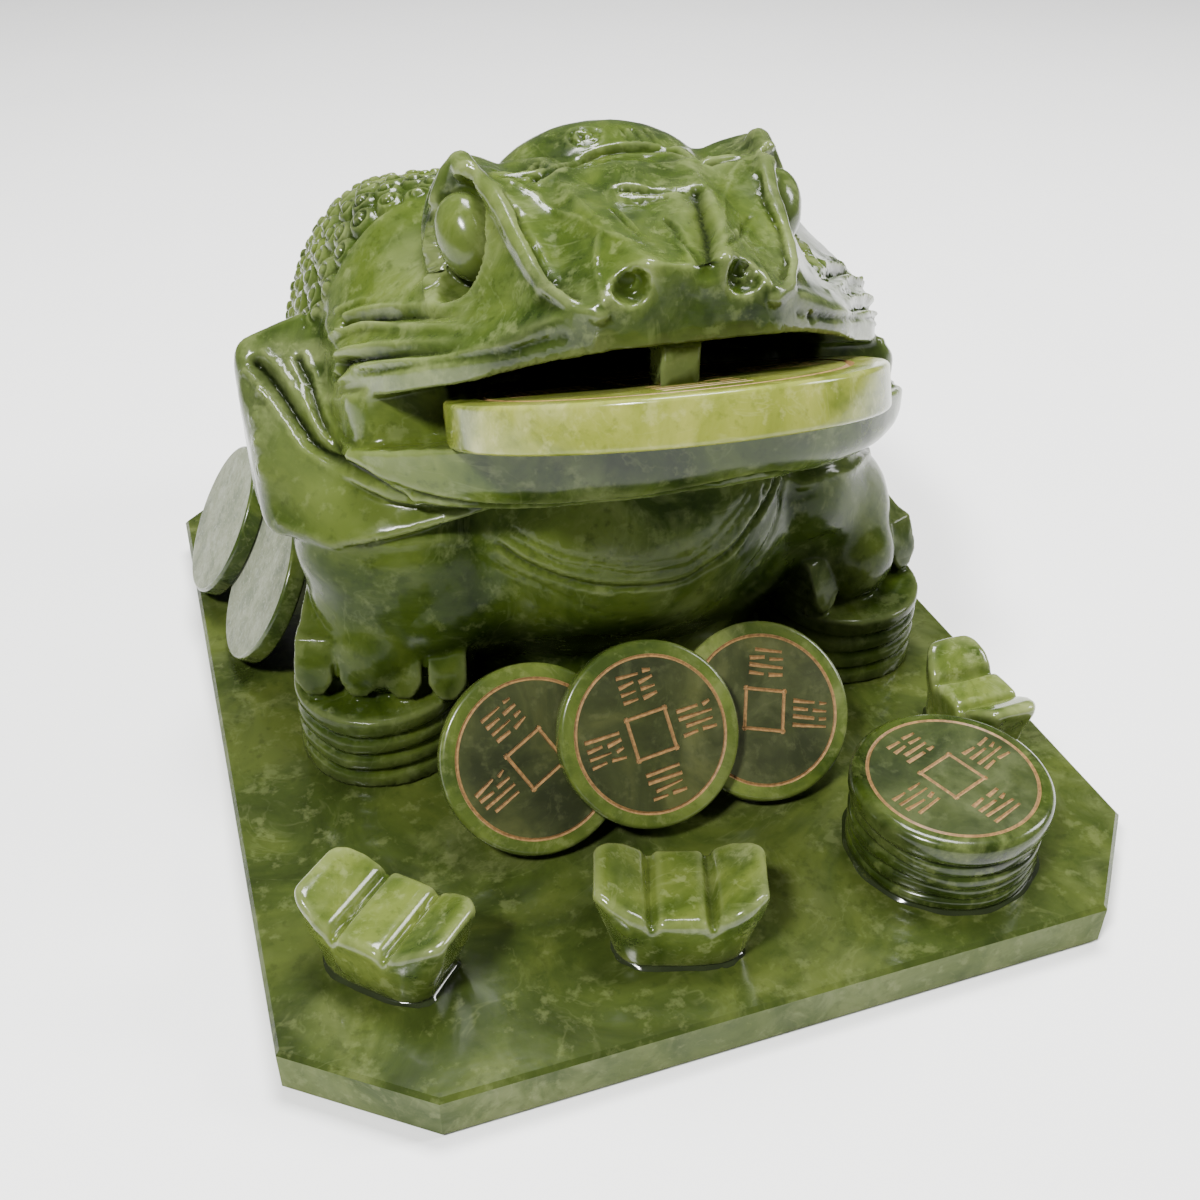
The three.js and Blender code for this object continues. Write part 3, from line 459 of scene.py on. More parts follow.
    def upper_arm(self, points: Array, side: int) -> Array:
        """Upper arm: a broad plate from the chest out to the raised elbow."""
        elbow, low = (112.7, 29, 116), (105.3, -16.6, 77)
        front, chest = (84.3, -43.3, 84), (42.6, -61.7, 98)
        inside = (90, 0, 95)
        shift = np.array([18.0, 0, 6.0]) if side > 0 else np.zeros(3)
        m = points * np.array([side, 1, 1]) + shift
        return trimmed(
            facet(m, elbow, low, front, inside),
            (facet(m, low, front, (80, 10, 75), inside), 2),
            (facet(m, front, chest, (64, -56, 110), inside), 4),
            (facet(m, (112.7, 27, 116), (92, 27, 123), (74, -26, 98), inside), 6),
            (facet(m, front, chest, (60, 0, 80), inside), 2),
            (m[..., 0] - 109.5, 4),
            (m[..., 1] - 34, 6),
            (facet(m, chest, (40, -60, 85), (20, 0, 90), inside), 5),
        )

    def fore_arm(self, points: Array, side: int, place: Pair) -> Array:
        """Forearm from the elbow down to the back of the hand."""
        m = points * np.array([side, 1, 1])
        px, py = side * place[0], place[1]
        places = [(68 if side > 0 else 78, 0, 71), (px - 4, py + 10, 54), (px - 2, py, 40)]
        d = chain(m, places, [19, 20, 19], 6)
        return join(d, chain(m, [(60, -20, 70), (52, -14, 45)], [26, 20], 6), 14)

    def hand(self, points: Array, side: int, place: Pair) -> Array:
        """Sloping palm with four blunt fingers bent down onto the pile."""
        across, forward = self.hand_right if side > 0 else self.hand_left
        turn = math.radians(self.hand_turn)
        u, v = side * (points[..., 0] - place[0]), points[..., 1] - place[1]
        x = u * math.cos(turn) + v * math.sin(turn) - across
        y = -u * math.sin(turn) + v * math.cos(turn) + forward
        z = points[..., 2]
        palm = block(np.stack([x, y - 21, z - 40], -1), (0, 0, 0), (26, 14, 16), 3)
        palm = trim(palm, (z - 45.5 - 0.55 * (y - 5)) / math.hypot(1, 0.55), 1.2)
        outline = [(17, 48.5), (5, 46.8), (0.9, 37.8), (-0.4, 29.6), (2, 26.2), (17, 26.2)]
        shape = y - 17
        for (y0, z0), (y1, z1) in zip(outline, outline[1:]):
            run = math.hypot(y1 - y0, z1 - z0)
            shape = trim(shape, ((z - z0) * (y0 - y1) - (y - y0) * (z0 - z1)) / run, 0.7)
        total = palm
        for i in range(self.fingers):
            off = np.abs(x - (i - (self.fingers - 1) / 2) * self.finger_step)
            sides = np.maximum(off - self.finger_half, (off - 2 - 0.66 * (z - 28)) * 0.83)
            total = np.minimum(total, trim(shape, sides, 1.0))
        return total

    def hand_pile(self, points: Array, place: Pair) -> Array:
        """Pile of thin coins under a hand, with wavy rounded rims."""
        x, y, z = parts(points - np.array([*place, 0]))
        turn = np.arctan2(y, x)
        wave = 0.5 * np.sin(3 * turn + 1.1) + 0.3 * np.sin(5 * turn)
        level = (z + wave) / self.pile_height * self.pile_layers
        notch = np.abs(np.cos(math.pi * np.clip(level, 0, self.pile_layers - 0.5)))
        groove = 1.5 * notch**6
        lowest = np.where(level < 0.5, 0, groove)
        rim = np.hypot(x, y) - (self.pile_radius + 0.3 - lowest)
        return trim(rim * 0.8, z - self.pile_height, 1.5)

    def whole(self, points: Array) -> Array:
        """The whole toad.

        Args:
            points: Places to measure at, in millimetres above the slab.

        Returns:
            One distance for each point, below zero inside.
        """
        body = points - np.array([self.body_line, 0, 0])
        d = self.torso(body)
        upper = (points[..., 2] > self.head_low) & (points[..., 1] < self.head_rear)
        h = self.to_head(points[upper])
        room = self.mouth(h)
        front = np.maximum(join(self.head(h), self.jaw(h), 2), -room)
        d[upper] = join(front, np.maximum(d[upper], -room), 3)
        px, py = self.prop
        prop = block(h, (px, py, 143), (5.2, 6, 8), 0.6)
        d[upper] = np.minimum(d[upper], prop)
        for side, place in ((-1, self.pile_left), (1, self.pile_right)):
            near = (side * points[..., 0] > 16) & (points[..., 1] < 60)
            part = d[near]
            part = join(part, self.upper_arm(body[near], side), 2)
            part = join(part, self.fore_arm(points[near], side, place), 3)
            part = join(part, self.hand(points[near], side, place), 1.5)
            d[near] = np.minimum(part, self.hand_pile(points[near], place))
        rear = points[..., 1] > 55
        d[rear] = join(d[rear], self.hind_leg(body[rear]), 4)
        return np.maximum(d, self.gap - points[..., 2])


def tree_of(points: Array) -> KDTree:
    """Search tree over some points."""
    tree = KDTree(len(points))
    for number, point in enumerate(points):
        tree.insert(point, number)
    tree.balance()
    return tree


@dataclass
class Groove:
    """Carved line: a V of a width and depth along a smooth curve.

    The line fades to the given share of its depth at its far end.
    """

    places: Sequence[Point]
    width: float
    depth: float
    fade: float = 0.2
    lip: float = 0.15

    def curve(self, steps: int = 6) -> Array:
        """Smooth curve through the places.

        Args:
            steps: Points for each stretch between two places.

        Returns:
            Points along the curve.
        """
        p = np.asarray(self.places, float)
        if len(p) == 2:
            return p
        ends = np.concatenate([[2 * p[0] - p[1]], p, [2 * p[-1] - p[-2]]])
        result = []
        for a, b, c, e in zip(ends, ends[1:], ends[2:], ends[3:]):
            for t in np.arange(steps) / steps:
                bend = 2 * a - 5 * b + 4 * c - e
                turn = -a + 3 * b - 3 * c + e
                result.append(0.5 * (2 * b + (c - a) * t + bend * t**2 + turn * t**3))
        return np.array(result + [p[-1]])

    def laid_on(self, tree: KDTree) -> "Groove":
        """The same line with its places moved onto the surface that a tree holds."""
        return replace(self, places=[tuple(tree.find(place)[0]) for place in self.curve(2)])

    def cut(self, points: Array) -> Array:
        """Depth of the line at each point, in millimetres.

        Args:
            points: Places on the surface.

        Returns:
            Depth below the surface, with a small raised lip beside the line.
        """
        curve = self.curve()
        result = np.zeros(len(points))
        reach = 2 * self.width
        low, high = curve.min(0) - reach, curve.max(0) + reach
        near = np.flatnonzero(((points > low) & (points < high)).all(-1))
        if not len(near):
            return result
        q = points[near]
        best = np.full(len(q), np.inf)
        along = np.zeros(len(q))
        for i, (a, b) in enumerate(zip(curve, curve[1:])):
            step = b - a
            t = np.clip(((q - a) @ step) / (step @ step + 1e-9), 0, 1)
            gap = length(q - a - t[:, None] * step)
            closer = gap < best
            best = np.where(closer, gap, best)
            along = np.where(closer, (i + t) / (len(curve) - 1), along)
        strength = self.depth * (1 + (self.fade - 1) * along) * smooth_step(0, 0.06, along)
        t = best / (self.width / 2)
        valley = np.clip(1 - t, 0, 1) ** 1.3
        ridge = np.clip(1 - np.abs(t - 1.25) / 0.6, 0, 1)
        result[near] = strength * (valley - self.lip * ridge)
        return result


# Meshes


def new_piece(name: str, mesh: Mesh) -> Object:
    """Object at the origin that holds a mesh."""
    piece = bpy.data.objects.new(name, mesh)
    bpy.context.scene.collection.objects.link(piece)
    return piece


def from_bmesh(name: str, bm: BMesh) -> Object:
    """Piece made of a finished bmesh, which is freed."""
    mesh = bpy.data.meshes.new(name)
    bm.to_mesh(mesh)
    bm.free()
    return new_piece(name, mesh)


def finished(piece: Object) -> Object:
    """Piece with its modifiers made part of its mesh."""
    graph = bpy.context.evaluated_depsgraph_get()
    mesh = bpy.data.meshes.new_from_object(piece.evaluated_get(graph))
    old = piece.data
    piece.modifiers.clear()
    piece.data = mesh
    mesh.name = piece.name
    bpy.data.meshes.remove(old)
    return piece


@contextmanager
def edited(piece: Object) -> Iterator[BMesh]:
    """Bmesh of a piece that is written back to it at the end of the block."""
    bm = bmesh.new()
    bm.from_mesh(piece.data)
    bm.verts.ensure_lookup_table()
    yield bm
    bm.to_mesh(piece.data)
    bm.free()


def merged_copy(source: Object, name: str) -> Object:
    """Copy of a frame node with its loose triangles joined."""
    bm = bmesh.new()
    bm.from_mesh(source.data)
    bmesh.ops.remove_doubles(bm, verts=bm.verts, dist=1e-6)
    piece = from_bmesh(name, bm)
    piece.data.materials.clear()
    return piece


def modified(piece: Object, kind: str, **settings: object) -> Object:
    """Piece with a modifier of a kind and some settings made part of its mesh."""
    modifier = piece.modifiers.new(kind.lower(), kind)
    for name, value in settings.items():
        setattr(modifier, name, value)
    return finished(piece)


def remesh(piece: Object, voxel: float) -> Object:
    """Piece with an even mesh of faces about a voxel wide, in millimetres."""
    return modified(piece, "REMESH", mode="VOXEL", voxel_size=voxel * MM, adaptivity=0.0)


def thin(piece: Object, triangles: int) -> Object:
    """Piece with flat areas drawn together until it has about so many triangles."""
    now = sum(len(polygon.vertices) - 2 for polygon in piece.data.polygons)
    return piece if now <= triangles else modified(piece, "DECIMATE", ratio=triangles / now)


def calm(bm: BMesh, verts: Iterable[BMVert], turns: int) -> None:
    """Even out some vertices a number of times."""
    axes = {f"use_axis_{axis}": True for axis in "xyz"}
    for _ in range(turns):
        bmesh.ops.smooth_vert(bm, verts=verts, factor=0.5, **axes)


def level_edges(edges: Iterable[BMEdge]) -> list[BMEdge]:
    """Those edges whose ends have the same height."""
    return [edge for edge in edges if abs(edge.verts[0].co.z - edge.verts[1].co.z) < LEVEL]


def round_off(
    bm: BMesh, edges: Sequence[BMEdge], radius: float, segments: int, clamp: bool = False
) -> set[BMVert]:
    """Round some edges of a bmesh.

    Args:
        bm: What they belong to.
        edges: The edges.
        radius: How far the rounding reaches.
        segments: Number of faces across it.
        clamp: Whether roundings stop where they meet.

    Returns:
        The new vertices.
    """
    made = bmesh.ops.bevel(bm, geom=edges, offset=radius, offset_type="OFFSET", segments=segments,
                           profile=0.5, affect="EDGES", clamp_overlap=clamp, material=-1)
    return set(made["verts"])


def empty_slots(piece: Object, count: int) -> None:
    """Give a piece some material slots without materials."""
    for _ in range(count):
        piece.data.materials.append(None)


def coordinates(piece: Object) -> Array:
    """Vertices in millimetres above the slab."""
    values = np.empty(len(piece.data.vertices) * 3)
    piece.data.vertices.foreach_get("co", values)
    return values.reshape(-1, 3) / MM - np.array([0, 0, SLAB_HEIGHT])


def set_coordinates(piece: Object, points: Array) -> None:
    """Move the vertices to places in millimetres above the slab."""
    values = (points + np.array([0, 0, SLAB_HEIGHT])) * MM
    piece.data.vertices.foreach_set("co", values.ravel())
    piece.data.update()


def normals(piece: Object) -> Array:
    """Normals of the vertices."""
    values = np.empty(len(piece.data.vertices) * 3)
    piece.data.vertex_normals.foreach_get("vector", values)
    return values.reshape(-1, 3)


def mark(piece: Object, name: str, values: Array) -> None:
    """Store one value for each vertex as an attribute."""
    attribute = piece.data.attributes.new(name, "FLOAT", "POINT")
    attribute.data.foreach_set("value", values.astype(np.float32))


def smooth(piece: Object, angle: float = 35.0) -> None:
    """Shade a piece smoothly, with edges sharper than the angle kept."""
    piece.data.shade_smooth()
    with edited(piece) as bm:
        for edge in bm.edges:
            if len(edge.link_faces) == 2:
                edge.smooth = edge.calc_face_angle(0) < math.radians(angle)


def settle(points: Array, form: Form, reach: float | Array, turns: int = 3) -> Array:
    """Points moved onto the zero surface of a form.

    Points that lie further off than the reach belong to other details and stay.

    Args:
        points: Places near the surface.
        form: Signed distance to reach.
        reach: Distance up to which points are moved fully, for all or for each.
        turns: Number of steps.

    Returns:
        The moved points.
    """
    steps = np.array([[1, -1, -1], [-1, -1, 1], [-1, 1, -1], [1, 1, 1]], float)
    probe, longest, close_enough = 0.2, 1.6, 0.05
    points = points.copy()
    live = np.arange(len(points))
    weight = None
    for _ in range(turns):
        values = [form(points[live] + probe * step) for step in steps]
        slope = sum(value[:, None] * step for value, step in zip(values, steps)) / (4 * probe)
        middle = sum(values) / 4
        if weight is None:
            weight = 1 - smooth_step(1.0, 1.8, np.abs(middle) / reach)
        steep = np.maximum((slope * slope).sum(-1), 0.2)
        move = -slope * np.clip(middle / steep, -longest, longest)[:, None]
        points[live] += move * weight[live][:, None]
        live = live[(np.abs(middle) > close_enough) & (weight[live] > 0.02)]
        if not len(live):
            break
    return points


def bends(piece: Object, turns: int = 2) -> Array:
    """How far each vertex stands out from its neighbours, as a share of their distance.

    Args:
        piece: A fine piece.
        turns: Times that the values are evened out.

    Returns:
        Values above zero on ridges and below zero in grooves.
    """
    mesh = piece.data
    ends = np.empty(len(mesh.edges) * 2, np.int64)
    mesh.edges.foreach_get("vertices", ends)
    a, b = ends.reshape(-1, 2).T
    points, count = coordinates(piece), len(mesh.vertices)
    near = np.maximum(np.bincount(a, minlength=count) + np.bincount(b, minlength=count), 1)

    def mean(values: Array) -> Array:
        """Mean of each vertex's neighbours."""
        total = np.bincount(a, values[b], count) + np.bincount(b, values[a], count)
        return total / near

    middle = np.stack([mean(points[:, axis]) for axis in range(3)], -1)
    gap = length(points[a] - points[b])
    size = (np.bincount(a, gap, count) + np.bincount(b, gap, count)) / near
    values = ((points - middle) * normals(piece)).sum(-1) / np.maximum(size, 0.05)
    for _ in range(turns):
        values = 0.4 * values + 0.6 * mean(values)
    return values * 4


def waves(points: Array, size: float, seed: int) -> Array:
    """Soft uneven field between about minus one and one.

    Args:
        points: Places to measure at.
        size: Distance between two crests.
        seed: Start of the random directions.

    Returns:
        One value for each point.
    """
    draw = np.random.default_rng(seed)
    total = np.zeros(len(points))
    for _ in range(7):
        direction = unit(draw.normal(size=3)) * 2 * math.pi / size * draw.uniform(0.7, 1.4)
        total += np.sin(points @ direction + draw.uniform(0, 6.3))
    return total / 3.5


# Finishes


class Nodes:
    """A new material's nodes, with short ways to add to them."""

    def __init__(self, name: str) -> None:
        """Start the material."""
        self.material = bpy.data.materials.new(name)
        self.material.use_nodes = True
        self.tree = self.material.node_tree
        self.shader = self.tree.nodes["Principled BSDF"]
        self.place = self.add("TexCoord", {}).outputs["Object"]

    def feed(self, node: Node, inputs: dict[str | int, object]) -> None:
        """Set or link the inputs of a node."""
        for key, value in inputs.items():
            socket = node.inputs[key]
            if isinstance(value, NodeSocket):
                self.tree.links.new(value, socket)
            else:
                socket.default_value = (*value, 1) if socket.type == "RGBA" else value

    def add(self, kind: str, inputs: dict[str | int, object], **settings: object) -> Node:
        """Add a node.

        Args:
            kind: Its type, without the prefix.
            inputs: A value or a source for each input.
            settings: Its other properties.

        Returns:
            The new node.
        """
        node = self.tree.nodes.new(f"ShaderNode{kind}")
        for name, value in settings.items():
            setattr(node, name, value)
        self.feed(node, inputs)
        return node

    def noise(self, scale: float, detail: float, distortion: float = 0.0, stretch: Point = (1, 1, 1),
              roughness: float = 0.6) -> NodeSocket:
        """Noise of a scale on stretched coordinates."""
        place = self.add("Mapping", {"Scale": stretch, "Vector": self.place}).outputs["Vector"]
        inputs = {"Scale": scale, "Detail": detail, "Roughness": roughness, "Distortion": distortion}
        return self.add("TexNoise", {**inputs, "Vector": place}).outputs["Fac"]

    def ramp(self, value: NodeSocket, *stops: tuple[float, Point]) -> NodeSocket:
        """Colour ramp over a value."""
        node = self.add("ValToRGB", {"Fac": value})
        elements = node.color_ramp.elements
        while len(elements) < len(stops):
            elements.new(0.5)
        for element, (at, colour) in zip(elements, stops):
            element.position = at
            element.color = (*colour, 1)
        return node.outputs["Color"]

    def mix(self, factor: object, a: object, b: object, blend: str = "MIX") -> NodeSocket:
        """Mix of two colours by a factor."""
        node = self.add("Mix", {}, data_type="RGBA", blend_type=blend)
        self.feed(node, {0: factor, 6: a, 7: b})
        return node.outputs[2]

    def share(self, value: NodeSocket, level: float) -> NodeSocket:
        """A value times a constant."""
        return self.add("Math", {0: value, 1: level}, operation="MULTIPLY").outputs[0]

    def stored(self, name: str) -> NodeSocket:
        """Value of a vertex attribute."""
        return self.add("Attribute", {}, attribute_name=name).outputs["Fac"]

    def bump(self, height: NodeSocket, strength: float, distance: float, **under: NodeSocket) -> NodeSocket:
        """Bump of a height, over another one if its normal is given."""
        inputs = {"Strength": strength, "Distance": distance, "Height": height, **under}
        return self.add("Bump", inputs).outputs["Normal"]

    def ranged(self, value: NodeSocket, low: float, high: float, top: float = 1.0) -> NodeSocket:
        """Value between zero and top spread over the range from low to high."""
        inputs = {"Value": value, "From Max": top, "To Min": low, "To Max": high}
        return self.add("MapRange", inputs).outputs["Result"]


@dataclass(frozen=True)
class Stone:
    """Polished mottled green stone.

    The colours run from the darkest patches to the palest clouds; painted highlight and painted shade are
    laid over them from stored vertex values.
    """

    name: str
    deep: Point
    mid: Point
    light: Point
    cloud: Point
    patch: float = 22.0
    cloud_share: float = 0.45
    fleck: float = 0.3
    roughness: float = 0.16
    coat: float = 0.12
    # Colour of the painted shade laid into grooves, hollows and low parts.
    painted_shade: Point = (0.006, 0.010, 0.002)
    scratches: float = 0.05
    shine: float = 0.26

    def material(self) -> Material:
        """Build the material's nodes.

        Returns:
            The new material.
        """
        new = Nodes(self.name)
        black, white = (0, 0, 0), (1, 1, 1)
        patch, cloud = self.patch, self.cloud
        colour = new.ramp(new.noise(patch, 8, 0.7), (0.36, self.deep), (0.49, self.mid), (0.63, self.light))
        drift = new.ramp(new.noise(patch * 0.55, 3, 1.2), (0.46, black), (0.64, white))
        wisps = new.ramp(new.noise(patch * 2.4, 7, 0.9), (0.42, black), (0.62, white))
        threads = new.ramp(new.noise(patch * 1.1, 4, 2.0), (0.475, black), (0.5, white), (0.525, black))
        flecks = new.ramp(new.noise(patch * 7, 6), (0.56, black), (0.66, white))
        specks = new.ramp(new.noise(patch * 10, 5), (0.32, white), (0.44, black))
        layers = (
            (new.mix(1.0, drift, wisps, "MULTIPLY"), self.cloud_share, cloud),
            (new.mix(1.0, threads, wisps, "MULTIPLY"), self.fleck * 0.7, cloud),
            (flecks, self.fleck, cloud),
            (specks, self.fleck * 1.3, self.deep),
            # Painted highlight: paler stone on ridges and edges, joined on the toad with its own paler zones.
            (new.stored("sheen_and_pale_stone"), 0.6, cloud),
            # Painted shade: near-black laid over grooves, hollows and low parts.
            (new.stored("painted_shade"), 1.0, self.painted_shade),
        )
        for where, strength, tone in layers:
            colour = new.mix(new.share(where, strength), colour, tone)
        rough = new.bump(new.noise(95, 3), 0.25, 0.0006)
        brushed = new.noise(260, 2, 0, (0.25, 1, 3.5))
        gloss = new.ranged(new.noise(patch * 1.6, 4), self.roughness * 0.7, self.roughness * 1.5)
        new.feed(new.shader, {
            "Base Color": colour,
            "Roughness": gloss,
            "IOR": 1.56,
            "Coat Weight": self.coat,
            "Coat Roughness": 0.06,
            # Reflection fades where the painted shade lies.
            "Specular IOR Level": new.ranged(new.stored("painted_shade"), self.shine, 0.05, 0.45),
            "Subsurface Weight": 0.06,
            "Subsurface Radius": (0.7, 1.0, 0.35),
            "Subsurface Scale": 0.003,
            "Normal": new.bump(brushed, self.scratches, 0.0003, Normal=rough),
        })
        return new.material


@dataclass(frozen=True)
class Plain:
    """Even finish in one tone with a faint grain, for engraved lines and the floor."""

    name: str
    colour: Point
    roughness: float
    grain: float = 300.0
    spread: float = 0.25

    def material(self) -> Material:
        """Build the material's nodes.

        Returns:
            The new material.
        """
        new = Nodes(self.name)
        levels = (1 - self.spread, 1 + self.spread)
        dark, pale = (tuple(min(level * value, 1) for value in self.colour) for level in levels)
        colour = new.ramp(new.noise(self.grain, 4, roughness=0.5), (0.3, dark), (0.7, pale))
        new.feed(new.shader, {"Base Color": colour, "Roughness": self.roughness})
        return new.material


TOAD_STONE = Stone(
    "toad_jade", (0.009, 0.019, 0.002), (0.032, 0.053, 0.006), (0.070, 0.098, 0.014), (0.18, 0.215, 0.08),
    coat=0.03,
)
SLAB_STONE = Stone(
    "slab_jade", (0.014, 0.022, 0.004), (0.027, 0.040, 0.007), (0.050, 0.066, 0.012), (0.12, 0.14, 0.05),
    patch=24, cloud_share=0.35,
)
SLAB_EDGE_STONE = Stone(
    "slab_edge_jade", (0.040, 0.056, 0.016), (0.066, 0.086, 0.026), (0.095, 0.115, 0.040), (0.17, 0.19, 0.09),
    patch=30, roughness=0.6, coat=0, shine=0.12,
)
MOUTH_COIN_STONE = Stone(
    "mouth_coin_jade", (0.085, 0.11, 0.012), (0.175, 0.20, 0.028), (0.255, 0.268, 0.055), (0.38, 0.38, 0.15),
    patch=30, cloud_share=0.6,
)
COIN_STONE = Stone(
    "coin_jade", (0.026, 0.042, 0.007), (0.052, 0.074, 0.012), (0.085, 0.112, 0.020), (0.16, 0.18, 0.065),
    patch=30, roughness=0.2,
)
COIN_FACE_STONE = Stone(
    "coin_face_jade",
    (0.014, 0.018, 0.005), (0.026, 0.032, 0.009), (0.052, 0.058, 0.016), (0.10, 0.11, 0.045),
    patch=34, cloud_share=0.3, fleck=0.2, roughness=0.34, coat=0.05,
)
FLANK_STONE = Stone(
    "flank_coin_jade",
    (0.010, 0.018, 0.004), (0.026, 0.042, 0.007), (0.055, 0.075, 0.014), (0.13, 0.15, 0.06),
    patch=40, roughness=0.2,
)
FLANK_FACE_STONE = Stone(
    "flank_face_stone", (0.10, 0.115, 0.075), (0.14, 0.155, 0.10), (0.18, 0.195, 0.135), (0.25, 0.265, 0.21),
    patch=110, cloud_share=0.5, fleck=0.6, roughness=0.7, coat=0.0, scratches=0.4,
)
PILE_STONE = Stone(
    "pile_jade", (0.008, 0.014, 0.002), (0.018, 0.030, 0.004), (0.038, 0.056, 0.008), (0.12, 0.145, 0.045),
    patch=30, shine=0.2,
)
PILE_FACE_STONE = Stone(
    "pile_face_jade",
    (0.012, 0.019, 0.004), (0.024, 0.034, 0.008), (0.040, 0.052, 0.013), (0.08, 0.095, 0.04),
    patch=30, roughness=0.3, shine=0.2,
)
INGOT_STONE = Stone(
    "ingot_jade", (0.026, 0.044, 0.006), (0.058, 0.082, 0.013), (0.098, 0.125, 0.024), (0.22, 0.25, 0.10),
    patch=34, roughness=0.12,
)
GOLD_LINE = Plain("gold_line", (0.21, 0.118, 0.042), 0.5, 900, 0.4)
GLUE = Plain("glue", (0.014, 0.020, 0.006), 0.1, 120)


# Sub-assemblies


def known(finish: Stone | Plain) -> Material:
    """Material of a finish, built once."""
    return bpy.data.materials.get(finish.name) or finish.material()


def place_piece(piece: Object, slot: Slot, *nodes: str) -> None:
    """Let a piece ride on the body and stand for its nodes."""
    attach(piece, BODY)
    if nodes:
        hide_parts(*nodes)
    log.info("%s: %d faces", piece.name, len(piece.data.polygons))


@dataclass
class Toad:
    """The toad, finely carved over the frame's solid."""

    form: ToadForm = field(default_factory=ToadForm)
    voxel: float = 1.0
    coarser: float = 1.8
    first_turns: int = 12
    last_turns: int = 4
    triangles: int = 196000
    near_reach: float = 1.2
    head_reach: float = 2.8
    far_reach: float = 14.0
    eye_zone: float = 26.0
    calm_turns: int = 8
    lines_above: float = 88.0
    # Painted shade: how much the stone darkens towards the bottom, and the heights over which it fades.
    low_shade: float = 0.42
    low_shade_heights: Pair = (76, 126)
    uneven: tuple[tuple[float, float, int], ...] = ((0.16, 17, 3), (0.07, 6.5, 5))
    wart_space: float = 8.0
    wart_height: float = 2.0
    wart_seed: int = 7

    def grooves_head(self) -> list[Groove]:
        """Lines on both sides of the head, in its own frame."""
        return [
            Groove([(81.3, 0.5, 130.9), (75.4, -4.7, 135), (66.7, -16.5, 140.5), (57.5, -32.7, 146),
                    (49.3, -46, 151)], 5.6, 4.6, 0.05, 0.3),
            Groove([(84.2, -9.2, 121.2), (78.7, -20.8, 130.2), (71.1, -30.8, 135.6), (59.2, -49, 143),
                    (53.6, -57.2, 146.3)], 5.6, 4.8, 0.05, 0.3),
            Groove([(85.4, -3.9, 116.3), (80.7, -19, 125), (71, -37.8, 134.1), (57, -55.1, 142.7),
                    (43.6, -67.7, 149.1), (31, -75.3, 155.3)], 3.0, 1.3, 0.4, 0.3),
            Groove([(84.4, 0.4, 126.9), (80, -5.3, 131.4), (73.9, -11.9, 135.4), (66.2, -25.3, 140),
                    (61.1, -33.7, 143.1), (47.4, -56.1, 151.4)], 4.2, -2.0, 0.2, 0),
            Groove([(81.9, 8.2, 132.2), (77.1, 4.4, 136.1), (70.9, -1, 139.5), (61.7, -17, 144.4)],
                   4.0, -1.3, 0.1, 0),
            Groove([(36, -27, 176.5), (34.3, -36, 173), (33.3, -47, 169.3), (32.2, -56, 166.3),
                    (30.5, -64, 164.5), (26.5, -73, 163.8)], 2.6, 1.3, 0.8, 0.1),
            Groove([(34.7, -19.1, 179.2), (29.3, -25.5, 175.7), (25.4, -31.2, 173.7), (21, -41.4, 173.3),
                    (17.5, -50.9, 174.1), (15.1, -58.8, 174.1), (9.4, -67, 173.7)], 2.8, -0.9, 0.5, 0),
            Groove([(16.6, -55.5, 173.8), (19.9, -65.2, 169.6), (21.2, -75.3, 166.4), (21.3, -80, 161.7)],
                   2.2, -0.7, 0.8, 0),
        ]

    def grooves_brow(self) -> list[Groove]:
        """Lines on the forehead, dome, brow and far cheek, in the head's frame."""
        turns = [(-6.6 + 5.5 * k / 14 * math.cos(0.9 * k), 3.1 + 5.5 * k / 14 * math.sin(0.9 * k), 181)
                 for k in range(15)]
        lines = [
            Groove([(-28, -22.6, 176.8), (-22.5, -18.2, 177), (-7, -6, 177), (6, -4.5, 177.7),
                    (15.8, -4.5, 177), (23, -15.7, 177.6)], 3.4, 1.7, 0.7, 0.3),
            Groove([(-5.2, -29.6, 175.4), (3.6, -31.1, 175), (11.3, -33.5, 175)], 3.0, 1.6, 0.6, 0.4),
            Groove([(-4.5, -35.2, 174), (1.1, -34.8, 173.6), (6.6, -36.1, 174)], 2.6, 1.3, 0.6, 0.4),
            Groove([(-10.4, -41.8, 174.7), (-7.3, -59.8, 173.5)], 2.4, 1.0, 0.4, 0.4),
            Groove([(15.2, -32.7, 175.9), (12, -45.4, 174.8), (9.5, -59.9, 173.9), (4.5, -78, 171.6)],
                   9.0, 2.4, 1.0, 0.15),
            Groove([(2.4, -46.7, 172.9), (2.7, -61.6, 172.5), (2.9, -77.4, 171.8)], 2.4, 0.9, 0.8, 0.4),
            Groove([(28.3, -43.3, 170.4), (19.5, -59.6, 171.1), (5.9, -77.6, 171.9)], 2.4, 0.9, 0.8, 0.4),
            Groove(turns, 2.0, 1.3, 0.6, 0.3),
            Groove([(50, -38, 149.5), (57.4, -30, 146.4), (70, -12, 139)], 2.6, 1.2, 0.3, 0.3),
            Groove([(60, -41, 143), (68.7, -28.6, 137.7)], 2.4, 1.2, 0.3, 0.3),
            Groove([(58, -23, 146), (62, -18.5, 144.6)], 4.6, 2.2, 0.5),
            Groove([(34.9, -73, 153.4), (36, -72, 151)], 3.0, 1.4, 0.5),
        ]
        for x in (4.8, 8.6, 12.4):
            lines.append(Groove([(x, 6, 181.5), (x + 1.5, -1, 179.5)], 2.2, 1.1, 0.3, 0.3))
        for inner, middle, outer in (((23, -6.9, 177.6), (26.7, -8.2, 179.6), (31.5, -6.4, 180.6)),
                                     ((23.4, -12.1, 177.9), (28.4, -13, 180), (34.3, -11.7, 180.9)),
                                     ((23.5, -19.8, 176.8), (28.1, -18.4, 178.5), (33.4, -18.2, 179.5))):
            for side in (1, -1):
                places = [(side * x, y, z) for x, y, z in (inner, middle, outer)]
                lines.append(Groove(places, 3.0, 1.9, 0.5, 0.2))
        return lines

